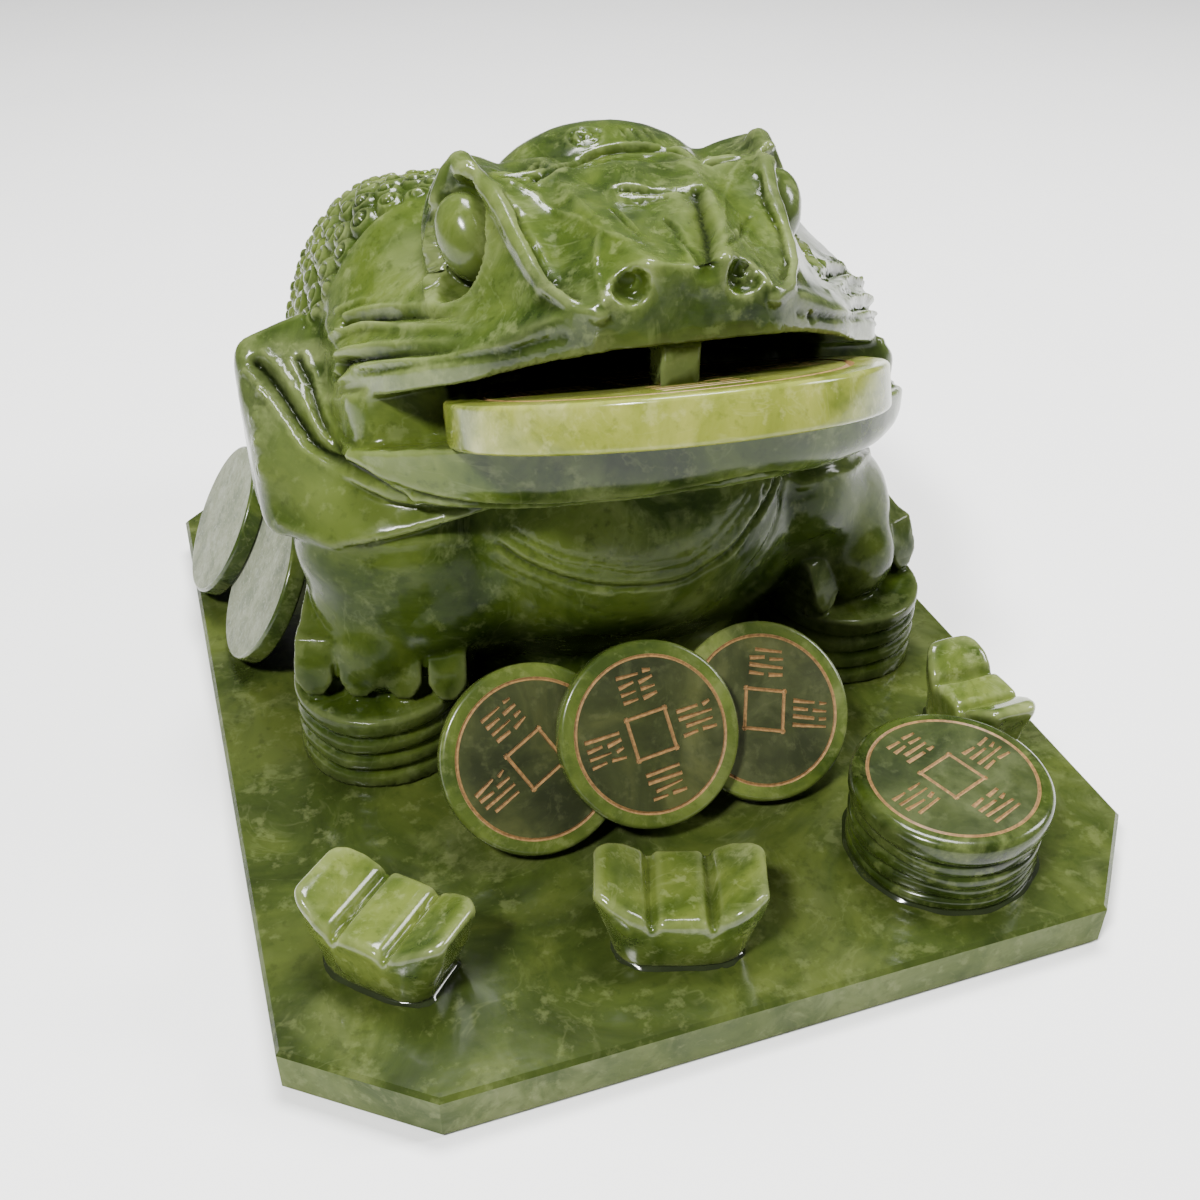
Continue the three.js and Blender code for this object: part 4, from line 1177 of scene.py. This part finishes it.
    def grooves_body(self) -> list[Groove]:
        """Lines under the jaw, on the belly and along the arms, in the row frame."""
        lines = [
            Groove([(-76, -36, 104), (-57, -50, 100), (-32, -59, 99), (-2, -63, 99), (21, -66, 101),
                    (36, -65, 101), (60, -50, 99)], 4.0, 1.6, 0.8),
            Groove([(-43, -43, 80), (-37, -49, 76), (-25, -56, 71), (-6, -61, 67.5), (10, -61.5, 66.5),
                    (27, -58, 73), (41, -51, 82), (50, -46, 90)], 3.2, 1.5, 0.7, 0.3),
            Groove([(-50, -42, 78), (-32, -53, 68), (-15, -58, 59), (3, -58, 52)], 2.4, 0.9, 0.1),
            Groove([(47, -53, 97), (42, -52, 86), (33, -55, 73), (20, -58, 62)], 2.6, 1.0, 0.2),
            Groove([(52, -50, 96), (50, -46, 84), (42, -50, 70), (28, -54, 57)], 2.6, 1.0, 0.2),
        ]
        belly = [(-41, -44, 80), (-26, -55, 73), (-7, -60.5, 69), (10, -61, 68), (26, -57, 76), (38, -51, 84)]
        for rise in (-3.6, 3.4, 6.8):
            lines.append(Groove([(x, y, z + rise) for x, y, z in belly], 1.8, 0.7, 0.3))
        folds = [
            ([(-100.2, 25.6, 117.6), (-95.3, 16.3, 114), (-91.4, 4.6, 108.3), (-87.5, -7, 102.8),
              (-81.3, -20.6, 101.8), (-76.4, -31.7, 101.7), (-67.9, -40.5, 98.2)], 6.5, 4.2, 0.5, 0.3),
            ([(-86.4, 18.9, 118.7), (-84.3, 9.5, 113.8), (-83.6, -4.2, 106), (-80.5, -22.3, 105.2)],
             4.0, 2.6, 0.6, 0.3),
            ([(-102.7, -10.6, 80.1), (-93, -25.6, 81.5), (-79.1, -35.6, 81.3), (-61.6, -42.2, 83.5),
              (-44, -41.7, 83.2)], 5.0, -1.4, 0.5, 0),
        ]
        for places, width, depth, fade, lip in folds:
            lines.append(Groove(places, width, depth, fade, lip))
            lines.append(Groove([(4 - x, y + 2, z - 3) for x, y, z in places], width, depth, fade, lip))
        return lines

    def build(self, source: Object) -> Object:
        """Build the toad from the frame's node.

        Args:
            source: The frame's own toad.

        Returns:
            The finely carved piece.
        """
        piece = merged_copy(source, "carved_toad")
        voxel = self.voxel
        remesh(piece, voxel)
        self.lay_on_form(piece, self.first_turns)
        remesh(piece, voxel)
        self.calm_eyes(piece)
        self.lay_on_form(piece, self.last_turns)
        self.refine(piece)
        points = coordinates(piece)
        depth, warts = self.relief(points)
        set_coordinates(piece, points + normals(piece) * (warts - depth)[:, None])
        self.mark_tones(piece, points, depth)
        thin(piece, self.triangles)
        piece.data.shade_smooth()
        return piece

    def lay_on_form(self, piece: Object, turns: int) -> None:
        """Move the vertices onto the carved form."""
        points = coordinates(piece)
        set_coordinates(piece, settle(points, self.form.whole, self.reach(points), turns))

    def mark_tones(self, piece: Object, points: Array, depth: Array) -> None:
        """Store the painted shade and the painted highlight, joined with the stone's own paler zones.

        Args:
            piece: The carved piece.
            points: Its vertices before the relief.
            depth: Depth of the carved lines at each.
        """
        bend = bends(piece)
        # Painted shade on the lower parts, and in carved lines and hollows.
        low_shade = self.low_shade * (1 - smooth_step(*self.low_shade_heights, points[..., 2] - 0.2 * points[..., 1]))
        carved = np.clip(depth * 0.25 - 0.05, 0, 0.5) + np.clip(-bend * 1.1 - 0.05, 0, 0.5)
        mark(piece, "painted_shade", np.maximum(carved, low_shade))
        # Painted highlight on ridges, joined with the stone's own paler zones.
        mark(piece, "sheen_and_pale_stone", np.maximum(np.clip(bend * 1.3 - 0.1, 0, 0.8), self.pale_zones(points)))

    def calm_eyes(self, piece: Object) -> None:
        """Even out the faces round the eyes before they settle again."""
        m = mirrored(self.form.to_head(coordinates(piece)))
        near = np.flatnonzero(length(m - np.array(self.form.eye, float)) < self.eye_zone)
        with edited(piece) as bm:
            calm(bm, [bm.verts[i] for i in near], self.calm_turns)

    def reach(self, points: Array) -> Array:
        """Distance up to which each point is moved onto the form: more on the head."""
        head = self.form.to_head(points)
        m = mirrored(head)
        clear = smooth_step(2.5, 4.5, self.form.mouth(head))
        upper = smooth_step(122, 130, points[..., 2]) * (1 - smooth_step(36, 44, points[..., 1]))
        reach = self.near_reach + self.head_reach * clear * upper
        near_eye = 1 - smooth_step(30, 40, length(m - np.array(self.form.eye, float) - (0, 0, 2)))
        near_corner = 1 - smooth_step(16, 22, length(m - (86, -24, 118)))
        on_back = smooth_step(125, 135, points[..., 2]) * smooth_step(24, 34, points[..., 1])
        far = np.maximum(near_eye * clear, np.maximum(near_corner * clear, on_back))
        return np.maximum(reach, self.far_reach * far)

    def pale_zones(self, points: Array) -> Array:
        """Share of paler stone along the upper lip's band and on the sawn block in the mouth."""
        x, y, z = parts(points)
        across, along, height = parts(self.form.to_head(points))
        side = np.abs(across)
        above = height - self.form.lip_height(side, along)
        band = smooth_step(-1, 1, above) * (1 - smooth_step(5.5, 7.5, above)) * smooth_step(38, 60, side)
        px, py = self.form.prop
        sawn = (np.abs(across - px) < 6.4) & (np.abs(along - py) < 7) & (z > 128) & (z < 150)
        shoulder = smooth_step(76, 92, np.abs(x)) * smooth_step(78, 92, z) * (1 - smooth_step(24, 30, y))
        return np.maximum(np.maximum(0.4 * band, 0.35 * shoulder), 0.75 * sawn)

    def wart_zone(self, points: Array) -> Array:
        """One where warts cover the back, and zero elsewhere."""
        body = points - np.array([self.form.body_line, 0, 0])
        _, y, z = parts(body)
        on_back = 1 - smooth_step(2.0, 3.5, np.abs(self.form.back(body)))
        low = 58 + 0.12 * np.maximum(y - 30, 0)
        inside = smooth_step(24, 27, y) * (1 - smooth_step(128, 134, y))
        return on_back * smooth_step(low, low + 3, z) * inside

    def refine(self, piece: Object) -> None:
        """Halve the faces where small carving follows."""
        fine = self.wart_zone(coordinates(piece)) > 0.05
        with edited(piece) as bm:
            edges = [edge for edge in bm.edges if all(fine[vert.index] for vert in edge.verts)]
            bmesh.ops.subdivide_edges(bm, edges=edges, cuts=1, use_grid_fill=True)

    def wart_places(self, points: Array, zone: Array) -> Array:
        """Evenly packed places for the warts.

        Args:
            points: All vertices.
            zone: Share of the wart zone at each vertex.

        Returns:
            Places of the warts' middles.
        """
        inside = points[zone > 0.6]
        order = np.random.default_rng(self.wart_seed).permutation(len(inside))
        steps = list(product((-1, 0, 1), repeat=3))
        cells: dict[tuple[int, ...], list[Array]] = {}
        chosen: list[Array] = []
        for point in inside[order]:
            cell = tuple(int(v) for v in point // self.wart_space)
            near = (tuple(c + s for c, s in zip(cell, step)) for step in steps)
            others = (other for place in near for other in cells.get(place, ()))
            if all(((other - point) ** 2).sum() >= self.wart_space**2 for other in others):
                cells.setdefault(cell, []).append(point)
                chosen.append(point)
        return np.array(chosen)

    def warts(self, points: Array) -> Array:
        """Height of the warts on the back: each a button with a ring round a dot."""
        zone = self.wart_zone(points)
        height = np.zeros(len(points))
        places = self.wart_places(points, zone)
        if len(places) < 2:
            return height
        tree = tree_of(places)
        radii = np.array([0.53 * tree.find_n(place, 2)[1][2] for place in places])
        for i in np.flatnonzero(zone > 0.01):
            _, number, gap = tree.find(points[i])
            t = gap / radii[number]
            dome = self.wart_height * max(1 - t * t, -0.6)
            ring = -1.0 * max(1 - abs(t - 0.52) / 0.2, 0)
            height[i] = (dome + ring - 0.4) * zone[i]
        return height

    def arm_warts(self, points: Array) -> Array:
        """Height of the few warts along the outer edge of each upper arm."""
        height = np.zeros(len(points))
        places = [(-99, 14, 110), (-101, 10, 104), (-102, 5, 98), (-103, 0, 92)]
        places += [(7 - x, y, z - 4) for x, y, z in places]
        for number, place in enumerate(places):
            t = length(points - np.asarray(place, float)) / (3.6 + 0.5 * (number % 2))
            ring = 0.6 * np.maximum(1 - np.abs(t - 0.55) / 0.2, 0)
            height += np.maximum(1.3 * (1 - t * t), 0) - ring
        return height

    def relief(self, points: Array) -> tuple[Array, Array]:
        """Depth of the carved lines, and height of the warts."""
        upper = np.flatnonzero(points[..., 2] > self.lines_above)
        head = self.form.to_head(points[upper])
        depth = np.zeros(len(points))
        lines = self.grooves_head()
        lines += [replace(line, places=[(-x, y, z) for x, y, z in line.places]) for line in lines]
        tree = tree_of(head)
        for line in lines + self.grooves_brow():
            depth[upper] += line.laid_on(tree).cut(head)
        tree = tree_of(points)
        for line in self.grooves_body():
            depth += line.laid_on(tree).cut(points)
        depth += sum(height * waves(points, size, seed) for height, size, seed in self.uneven)
        return depth, self.warts(points) + self.arm_warts(points)

    def dress(self, piece: Object) -> None:
        """Give the toad its stone and its body."""
        piece.data.materials.append(known(TOAD_STONE))
        place_piece(piece, Slot.TOAD, "toad")


ROW_SPANS = [[(-1, 1)], [(-1, -0.15), (0.2, 1)], [(-0.7, 0.9)], [(-1, 0.25), (0.6, 1)]]


@dataclass
class CoinFace:
    """Engraved coin: a ring, a square outline and rows of short strokes."""

    radius: float
    thickness: float
    edge: float
    marks: Sequence[int] = (0, 1, 2, 3)
    depth: float = 0.55
    line: float = 1.0
    ring_share: float = 0.83
    square_share: float = 0.22
    mark_share: float = 0.53
    rows: int = 4
    row_share: float = 0.088
    reach_share: float = 0.19
    seed: int = 1
    steps: int = 128
    engraved: bool = True

    def blank(self) -> BMesh:
        """Coin with rounded rims, its front face at Z = 0 facing up, in millimetres."""
        bm = bmesh.new()
        bmesh.ops.create_circle(bm, cap_ends=True, radius=self.radius, segments=self.steps)
        result = bmesh.ops.extrude_face_region(bm, geom=list(bm.faces))
        moved = [v for v in result["geom"] if isinstance(v, BMVert)]
        bmesh.ops.translate(bm, verts=moved, vec=(0, 0, -self.thickness))
        bmesh.ops.recalc_face_normals(bm, faces=bm.faces)
        round_off(bm, level_edges(bm.edges), self.edge, 4)
        return bm

    def stroke(self, bm: BMesh, a: Pair, b: Pair, width: float,
               taper: float = 1.0) -> None:
        """Add a cutter for one V-shaped stroke.

        Args:
            bm: Where the cutter goes.
            a: Thick end.
            b: Thin end.
            width: Width at the thick end.
            taper: Width at the thin end as a share of the other.
        """
        run = Vector((b[0] - a[0], b[1] - a[1], 0))
        across = Vector((-run.y, run.x, 0)).normalized()
        along = run.normalized()
        for vert in bmesh.ops.create_cube(bm, size=1.0)["verts"]:
            thin_end, side = vert.co.x > 0, 1 if vert.co.y > 0 else -1
            half = width / 2 * (taper if thin_end else 1)
            centre = Vector((*(b if thin_end else a), 0))
            if vert.co.z > 0:
                tip = along * (half if thin_end else -half) * 0.5
                vert.co = centre + across * (half * side * 1.5) + tip
                vert.co.z = self.depth * 0.5
            else:
                vert.co = centre + across * (half * side * 0.25)
                vert.co.z = -self.depth

    def cutters(self) -> BMesh:
        """Cutters of the ring, the square and the rows of strokes."""
        bm = bmesh.new()
        half = self.radius * self.square_share
        corners = [(-half, -half), (half, -half), (half, half), (-half, half)]
        for a, b in zip(corners, corners[1:] + corners[:1]):
            grown = [tuple(c + 0.35 * (c - o) / half for c, o in zip(p, q)) for p, q in ((a, b), (b, a))]
            self.stroke(bm, grown[0], grown[1], self.line)
        draw = random.Random(self.seed)
        middles = {0: (0, 1), 1: (-1, 0), 2: (0, -1), 3: (1, 0)}
        reach = self.radius * self.reach_share
        for number in self.marks:
            mx, my = (self.radius * self.mark_share * v for v in middles[number])
            for row in range(self.rows):
                y = my + (row - (self.rows - 1) / 2) * self.radius * self.row_share
                for low, high in draw.choice(ROW_SPANS):
                    slant = draw.uniform(-0.25, 0.35)
                    a, b = (mx + reach * low, y - slant), (mx + reach * high, y + slant)
                    self.stroke(bm, a, b, self.line * draw.uniform(1.0, 1.35), draw.uniform(0.45, 0.8))
        return bm

    def ring_cutter(self) -> BMesh:
        """Cutter of the ring: a V-shaped loop."""
        bm = bmesh.new()
        ring = self.radius * self.ring_share
        section = [(-0.8, 0.3), (0, -self.depth), (0.8, 0.3)]
        verts = [bm.verts.new((ring + x * self.line, 0, z)) for x, z in section]
        edges = [bm.edges.new((a, b)) for a, b in zip(verts, verts[1:] + verts[:1])]
        bmesh.ops.spin(bm, geom=verts + edges, cent=(0, 0, 0), axis=(0, 0, 1), angle=2 * math.pi,
                       steps=self.steps, use_merge=True)
        bmesh.ops.remove_doubles(bm, verts=bm.verts, dist=1e-4)
        bmesh.ops.recalc_face_normals(bm, faces=bm.faces)
        return bm

    def build(self, name: str, matrix: Matrix) -> Object:
        """Build the coin and set it in its place.

        Args:
            name: Name of the piece.
            matrix: Place of the front face, in millimetres above the slab.

        Returns:
            The finished piece with slots for the stone, the lines and the face.
        """
        piece = from_bmesh(name, self.blank())
        empty_slots(piece, 3)
        for cutter in (self.cutters(), self.ring_cutter()) if self.engraved else ():
            for face in cutter.faces:
                face.material_index = 1
            tool = from_bmesh("cutter", cutter)
            empty_slots(tool, 2)
            modified(piece, "BOOLEAN", operation="DIFFERENCE", solver="EXACT", use_self=True, object=tool,
                     material_mode="INDEX")
            bpy.data.objects.remove(tool)
        reach = self.radius * (self.ring_share if self.engraved else 1)
        for polygon in piece.data.polygons:
            places = [piece.data.vertices[v].co for v in polygon.vertices]
            level = all(abs(place.z) < 0.02 and place.xy.length < reach for place in places)
            if level and polygon.material_index == 0:
                polygon.material_index = 2
        piece.data.transform(Matrix.Scale(MM, 4) @ Matrix.Translation((0, 0, SLAB_HEIGHT)) @ matrix)
        return piece


def upright_turn(degrees: float) -> Matrix:
    """Turn about the Z axis."""
    return Matrix.Rotation(math.radians(degrees), 4, "Z")


def face_matrix(place: Point, facing: float, rise: float, turn: float = 0.0) -> Matrix:
    """Place of a coin's front face.

    Args:
        place: Middle of the face in millimetres above the slab.
        facing: Direction it faces, in degrees from the front.
        rise: Height it looks up to, in degrees.
        turn: Turn about its own middle, in degrees.

    Returns:
        The matrix from the coin's own frame.
    """
    a, e = math.radians(facing), math.radians(rise)
    normal = Vector((math.sin(a) * math.cos(e), -math.cos(a) * math.cos(e), math.sin(e)))
    right = Vector((math.cos(a), math.sin(a), 0))
    up = normal.cross(right)
    basis = Matrix((right, up, normal)).transposed().to_4x4()
    return Matrix.Translation(place) @ basis @ upright_turn(turn)


@dataclass
class Coins:
    """Coin in the mouth, the three leaning coins and the four on the flanks."""

    thickness: float = 6.5
    flank_radius: float = 28.5

    def mouth(self, form: ToadForm) -> Object:
        """Thick pale coin in the mouth."""
        head = Matrix.Translation((form.head_line, 0, 0)) @ upright_turn(form.head_turn)
        matrix = head @ face_matrix(form.coin_place, 0, 90 + form.coin_rise)
        face = CoinFace(form.coin_radius, form.coin_thickness, 1.4, depth=0.9, line=1.9, seed=11, steps=192)
        piece = face.build("mouth_coin_fine", matrix)
        self.dress(piece, (MOUTH_COIN_STONE, MOUTH_COIN_STONE), Slot.MOUTH_COIN, "mouth_coin")
        return piece

    def standing(self) -> None:
        """Three coins that lean on the belly."""
        spots = {
            "left": (28.5, (-42.5, -80.5, 26.7), 1.3, 38.6, 28, (0, 1)),
            "middle": (28.2, (-8.1, -85.6, 30.9), 0.9, 37.2, 6, (0, 1, 2, 3)),
            "right": (28.2, (31.8, -79.7, 25), -1.6, 44.6, -16, (0, 3)),
        }
        for seed, (side, (radius, place, facing, rise, turn, marks)) in enumerate(spots.items()):
            face = CoinFace(radius, self.thickness, 1.5, marks, seed=20 + seed)
            piece = face.build(f"leaning_coin_{side}", face_matrix(place, facing, rise, turn))
            self.dress(piece, (COIN_STONE, COIN_FACE_STONE), Slot.COIN, f"standing_coin_{side}")

    def flanks(self) -> None:
        """Hazy coins that lean on the toad's sides."""
        spots = {"upper": (-116.2, 83.6, 28.4), "lower": (-108.4, 37.5, 28.4)}
        for level, (x, y, z) in spots.items():
            for side, sign in (("left", 1), ("right", -1)):
                face = CoinFace(self.flank_radius, self.thickness, 1.1, engraved=False)
                piece = face.build(f"side_coin_{side}_{level}", face_matrix((sign * x, y, z), -90 * sign, 31))
                stones = (FLANK_STONE, FLANK_FACE_STONE)
                self.dress(piece, stones, Slot.FLANK_COIN, f"flank_coin_{side}_{level}")

    def dress(self, piece: Object, stones: tuple[Stone, Stone], slot: Slot, node: str) -> None:
        """Give a coin its rim's and face's stones, its gold-brown lines and its body."""
        for number, finish in enumerate((stones[0], GOLD_LINE, stones[1])):
            piece.data.materials[number] = known(finish)
        smooth(piece, 30)
        place_piece(piece, slot, node)


GLUE_SECTION = ((-0.8, 0.08), (0.9, 0.08), (0.7, 0.3), (0.3, 0.6), (0, 0.9), (-0.8, 1.0))


def glue_ring(bm: BMesh, outline: Sequence[Pair], slot: int) -> None:
    """Add a dark bead of glue on the slab round the foot of a piece.

    Args:
        bm: Where the bead goes, in metres.
        outline: The foot's outline in order, in millimetres.
        slot: Material slot of the glue.
    """
    ring = np.asarray(outline, float)
    along = np.roll(ring, -1, 0) - np.roll(ring, 1, 0)
    along /= np.maximum(np.linalg.norm(along, axis=1), 1e-9)[:, None]
    out = np.stack([along[:, 1], -along[:, 0]], -1)
    if (out * (ring - ring.mean(0))).sum() < 0:
        out = -out
    rows = []
    for number, (place, side) in enumerate(zip(ring, out)):
        grow = 1 + 0.25 * math.sin(0.9 * number) + 0.2 * math.sin(0.37 * number + 1)
        rows.append([bm.verts.new(Vector((*(place + side * reach * grow), SLAB_HEIGHT + height)) * MM)
                     for reach, height in GLUE_SECTION])
    for a, b in zip(rows, rows[1:] + rows[:1]):
        for i in range(len(GLUE_SECTION)):
            j = (i + 1) % len(GLUE_SECTION)
            bm.faces.new((a[i], a[j], b[j], b[i])).material_index = slot
    bmesh.ops.recalc_face_normals(bm, faces=[face for face in bm.faces if face.material_index == slot])


@dataclass
class CoinPile:
    """Pile of coins at the front right: an engraved top over wavy layers."""

    radius: float = 29.5
    height: float = 27.0
    place: Pair = (70, -126.5)
    turn: float = 20.0
    layers: int = 5
    top: float = 8.6
    gap: float = 0.3
    foot_inset: float = 1.2
    rim_round: float = 1.9

    def build(self) -> Object:
        """Build the pile from its thick top coin and its turned layers."""
        top = CoinFace(self.radius, self.top, 3.0, seed=41)
        matrix = Matrix.Translation((*self.place, self.height)) @ upright_turn(self.turn)
        piece = top.build("engraved_pile", matrix)
        layer = (self.height - self.top) / (self.layers - 1)
        foot = self.radius - self.foot_inset
        turns = np.linspace(0, 2 * math.pi, 96, endpoint=False)
        bed = [(self.place[0] + foot * math.cos(a), self.place[1] + foot * math.sin(a)) for a in turns]
        with edited(piece) as bm:
            for i in range(self.layers - 1):
                self.layer(bm, i * layer + (self.gap if i == 0 else -0.5), (i + 1) * layer + 0.3, i)
            glue_ring(bm, bed, 3)
        return piece

    def layer(self, bm: BMesh, low: float, high: float, number: int) -> None:
        """Add one coin of the pile.

        Args:
            bm: Where the coin goes, in metres.
            low: Height of its underside in millimetres above the slab.
            high: Height of its top.
            number: Which coin from below, which sets its wave.
        """
        radius = self.radius - 1.1 - 0.35 * (number % 2)
        made = bmesh.ops.create_cone(bm, cap_ends=True, segments=96, radius1=radius, radius2=radius,
                                     depth=high - low)["verts"]
        faces = {face for vert in made for face in vert.link_faces}
        rims = level_edges(dict.fromkeys(edge for vert in made for edge in vert.link_edges))
        rounded = round_off(bm, rims, self.rim_round, 5)
        verts = {v for f in faces if f.is_valid for v in f.verts} | rounded
        for vert in verts:
            a = math.atan2(vert.co.y, vert.co.x)
            swing = 0.5 * math.sin(3 * a + 1.7 * number) + 0.3 * math.sin(5 * a + number)
            lift = swing if number else swing * (1 if vert.co.z > 0 else 0)
            vert.co.z += lift * 0.8
            stretch = 1 + 0.006 * math.sin(2 * a + number) + 0.005 * math.sin(7 * a + 2.0 * number)
            vert.co.x *= stretch
            vert.co.y *= stretch
        middle = Vector((*self.place, SLAB_HEIGHT + (low + high) / 2))
        for vert in verts:
            vert.co = (vert.co + middle) * MM

    def dress(self, piece: Object) -> None:
        """Give the pile its stones, its glue and its body."""
        piece.data.materials.append(known(GLUE))
        for number, finish in enumerate((PILE_STONE, GOLD_LINE, PILE_FACE_STONE)):
            piece.data.materials[number] = known(finish)
        smooth(piece, 32)
        place_piece(piece, Slot.PILE, "coin_pile")


@dataclass
class Ingots:
    """Boat-shaped ingots with rounded worn edges."""

    edge: float = 1.8
    upright_edge: float = 3.96
    voxel: float = 0.5
    turns: int = 20
    triangles: int = 24000

    def build(self, source: Object, name: str) -> Object:
        """Round one ingot of the frame.

        Args:
            source: The frame's ingot.
            name: Name of the new piece.

        Returns:
            The finished piece.
        """
        piece = merged_copy(source, name)
        with edited(piece) as bm:
            bmesh.ops.dissolve_limit(bm, angle_limit=math.radians(4), verts=bm.verts, edges=bm.edges)
            for upright, edge in ((True, self.upright_edge), (False, self.edge)):
                edges = [e for e in bm.edges if self.sharp(e) and self.upright(e) == upright]
                round_off(bm, edges, edge * MM, 3, clamp=True)
        remesh(piece, self.voxel)
        with edited(piece) as bm:
            calm(bm, bm.verts, self.turns)
        points = coordinates(piece)
        set_coordinates(piece, points + normals(piece) * (0.3 * waves(points, 18, 9))[:, None])
        # Painted highlight on convex edges and painted shade in hollows.
        bend = bends(piece, 6)
        mark(piece, "sheen_and_pale_stone", np.clip(bend * 2.4 - 0.1, 0, 0.8))
        mark(piece, "painted_shade", np.clip(-bend * 1.6 - 0.05, 0, 0.5))
        thin(piece, self.triangles)
        with edited(piece) as bm:
            foot = [(v.co.x / MM, v.co.y / MM) for v in bm.verts if v.co.z < (SLAB_HEIGHT + 1.2) * MM]
            glue_ring(bm, [foot[i] for i in convex_hull_2d(foot)], 1)
        smooth(piece, 60)
        return piece

    @staticmethod
    def sharp(edge: BMEdge) -> bool:
        """Whether an edge stands out enough to be rounded."""
        return edge.is_convex and edge.calc_face_angle(0) > math.radians(14)

    @staticmethod
    def upright(edge: BMEdge) -> bool:
        """Whether an edge runs up rather than level."""
        return abs((edge.verts[1].co - edge.verts[0].co).normalized().z) > 0.7

    def dress(self, piece: Object, node: str) -> None:
        """Give an ingot its stone, its glue and its body."""
        piece.data.materials.append(known(INGOT_STONE))
        piece.data.materials.append(known(GLUE))
        place_piece(piece, Slot.INGOT, node)


@dataclass
class Slab:
    """Polished slab with cut corners."""

    edge: float = 0.5

    def dress(self, node: Object) -> None:
        """Give the frame's slab its polished top, its duller sawn sides and soft edges."""
        for slot in node.material_slots:
            slot.material = known(SLAB_STONE)
        node.data.materials.append(known(SLAB_EDGE_STONE))
        sides = len(node.data.materials) - 1
        for polygon in node.data.polygons:
            if abs(polygon.normal.z) < 0.5:
                polygon.material_index = sides
        modifier = node.modifiers.new("edge", "BEVEL")
        modifier.width = self.edge * MM
        modifier.segments = 2
        log.info("slab dressed")


@dataclass
class Studio:
    """Pale floor, soft lights and the camera."""

    place: Point = (-121.2, -364.1, 306.5)
    aim: Point = (14.1, 25.9, 15.0)
    roll: float = 0.31
    lens: float = 39.945
    lights: tuple[tuple[str, Point, Pair, float], ...] = (
        ("key", (-0.9, -0.7, 1.5), (0.3, 0.22), 62),
        ("top", (0.2, 0.3, 1.6), (0.7, 0.45), 52),
        ("side", (1.3, -0.3, 0.9), (0.3, 0.6), 20),
    )
    ambient: float = 0.2

    def floor(self) -> None:
        """Pale floor under the slab."""
        bm = bmesh.new()
        bmesh.ops.create_grid(bm, x_segments=1, y_segments=1, size=6)
        piece = from_bmesh("floor", bm)
        piece.data.materials.append(Plain("pale_floor", (0.92, 0.92, 0.91), 0.7, 8, 0.01).material())

    def light(self, name: str, place: Point, size: Pair, power: float) -> None:
        """Area light that looks at the figure.

        Args:
            name: Name of the light.
            place: Its place in metres.
            size: Its width and height in metres.
            power: Its power in watts.
        """
        data = bpy.data.lights.new(name, "AREA")
        data.shape = "RECTANGLE"
        data.size, data.size_y = size
        data.energy = power
        lamp = bpy.data.objects.new(name, data)
        lamp.location = place
        aim = Vector((0, 0, 0.09)) - Vector(place)
        lamp.rotation_euler = aim.to_track_quat("-Z", "Y").to_euler()
        bpy.context.scene.collection.objects.link(lamp)

    def camera(self) -> None:
        """Camera at the photograph's place and angle."""
        data = bpy.data.cameras.new("camera")
        data.lens = self.lens
        data.sensor_width = 36
        data.clip_start = 0.01
        camera = bpy.data.objects.new("camera", data)
        place, aim = Vector(self.place) * MM, Vector(self.aim) * MM
        back = (place - aim).normalized()
        right = Vector((0, 0, 1)).cross(back).normalized()
        basis = Matrix((right, back.cross(right), back)).transposed().to_4x4()
        camera.matrix_world = Matrix.Translation(place) @ basis @ upright_turn(self.roll)
        bpy.context.scene.collection.objects.link(camera)
        bpy.context.scene.camera = camera

    def build(self) -> None:
        """Build the whole studio."""
        self.camera()
        self.floor()
        world = bpy.data.worlds.new("studio")
        world.use_nodes = True
        background = world.node_tree.nodes["Background"].inputs
        background["Color"].default_value = (1, 1, 1, 1)
        background["Strength"].default_value = self.ambient
        bpy.context.scene.world = world
        for name, place, size, power in self.lights:
            self.light(name, place, size, power)


def main() -> None:
    """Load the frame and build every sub-assembly."""
    logging.basicConfig(level=logging.INFO, format="%(name)s: %(message)s")
    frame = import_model()
    nodes = frame["nodes"]
    toad = Toad()
    toad.dress(toad.build(nodes["toad"]))
    coins = Coins()
    coins.mouth(toad.form)
    coins.standing()
    coins.flanks()
    pile = CoinPile()
    pile.dress(pile.build())
    ingots = Ingots()
    for side in ("left", "middle", "right"):
        node = f"ingot_{side}"
        ingots.dress(ingots.build(nodes[node], f"worn_ingot_{side}"), node)
    Slab().dress(nodes["slab"])
    Studio().build()


if __name__ == "__main__":
    main()
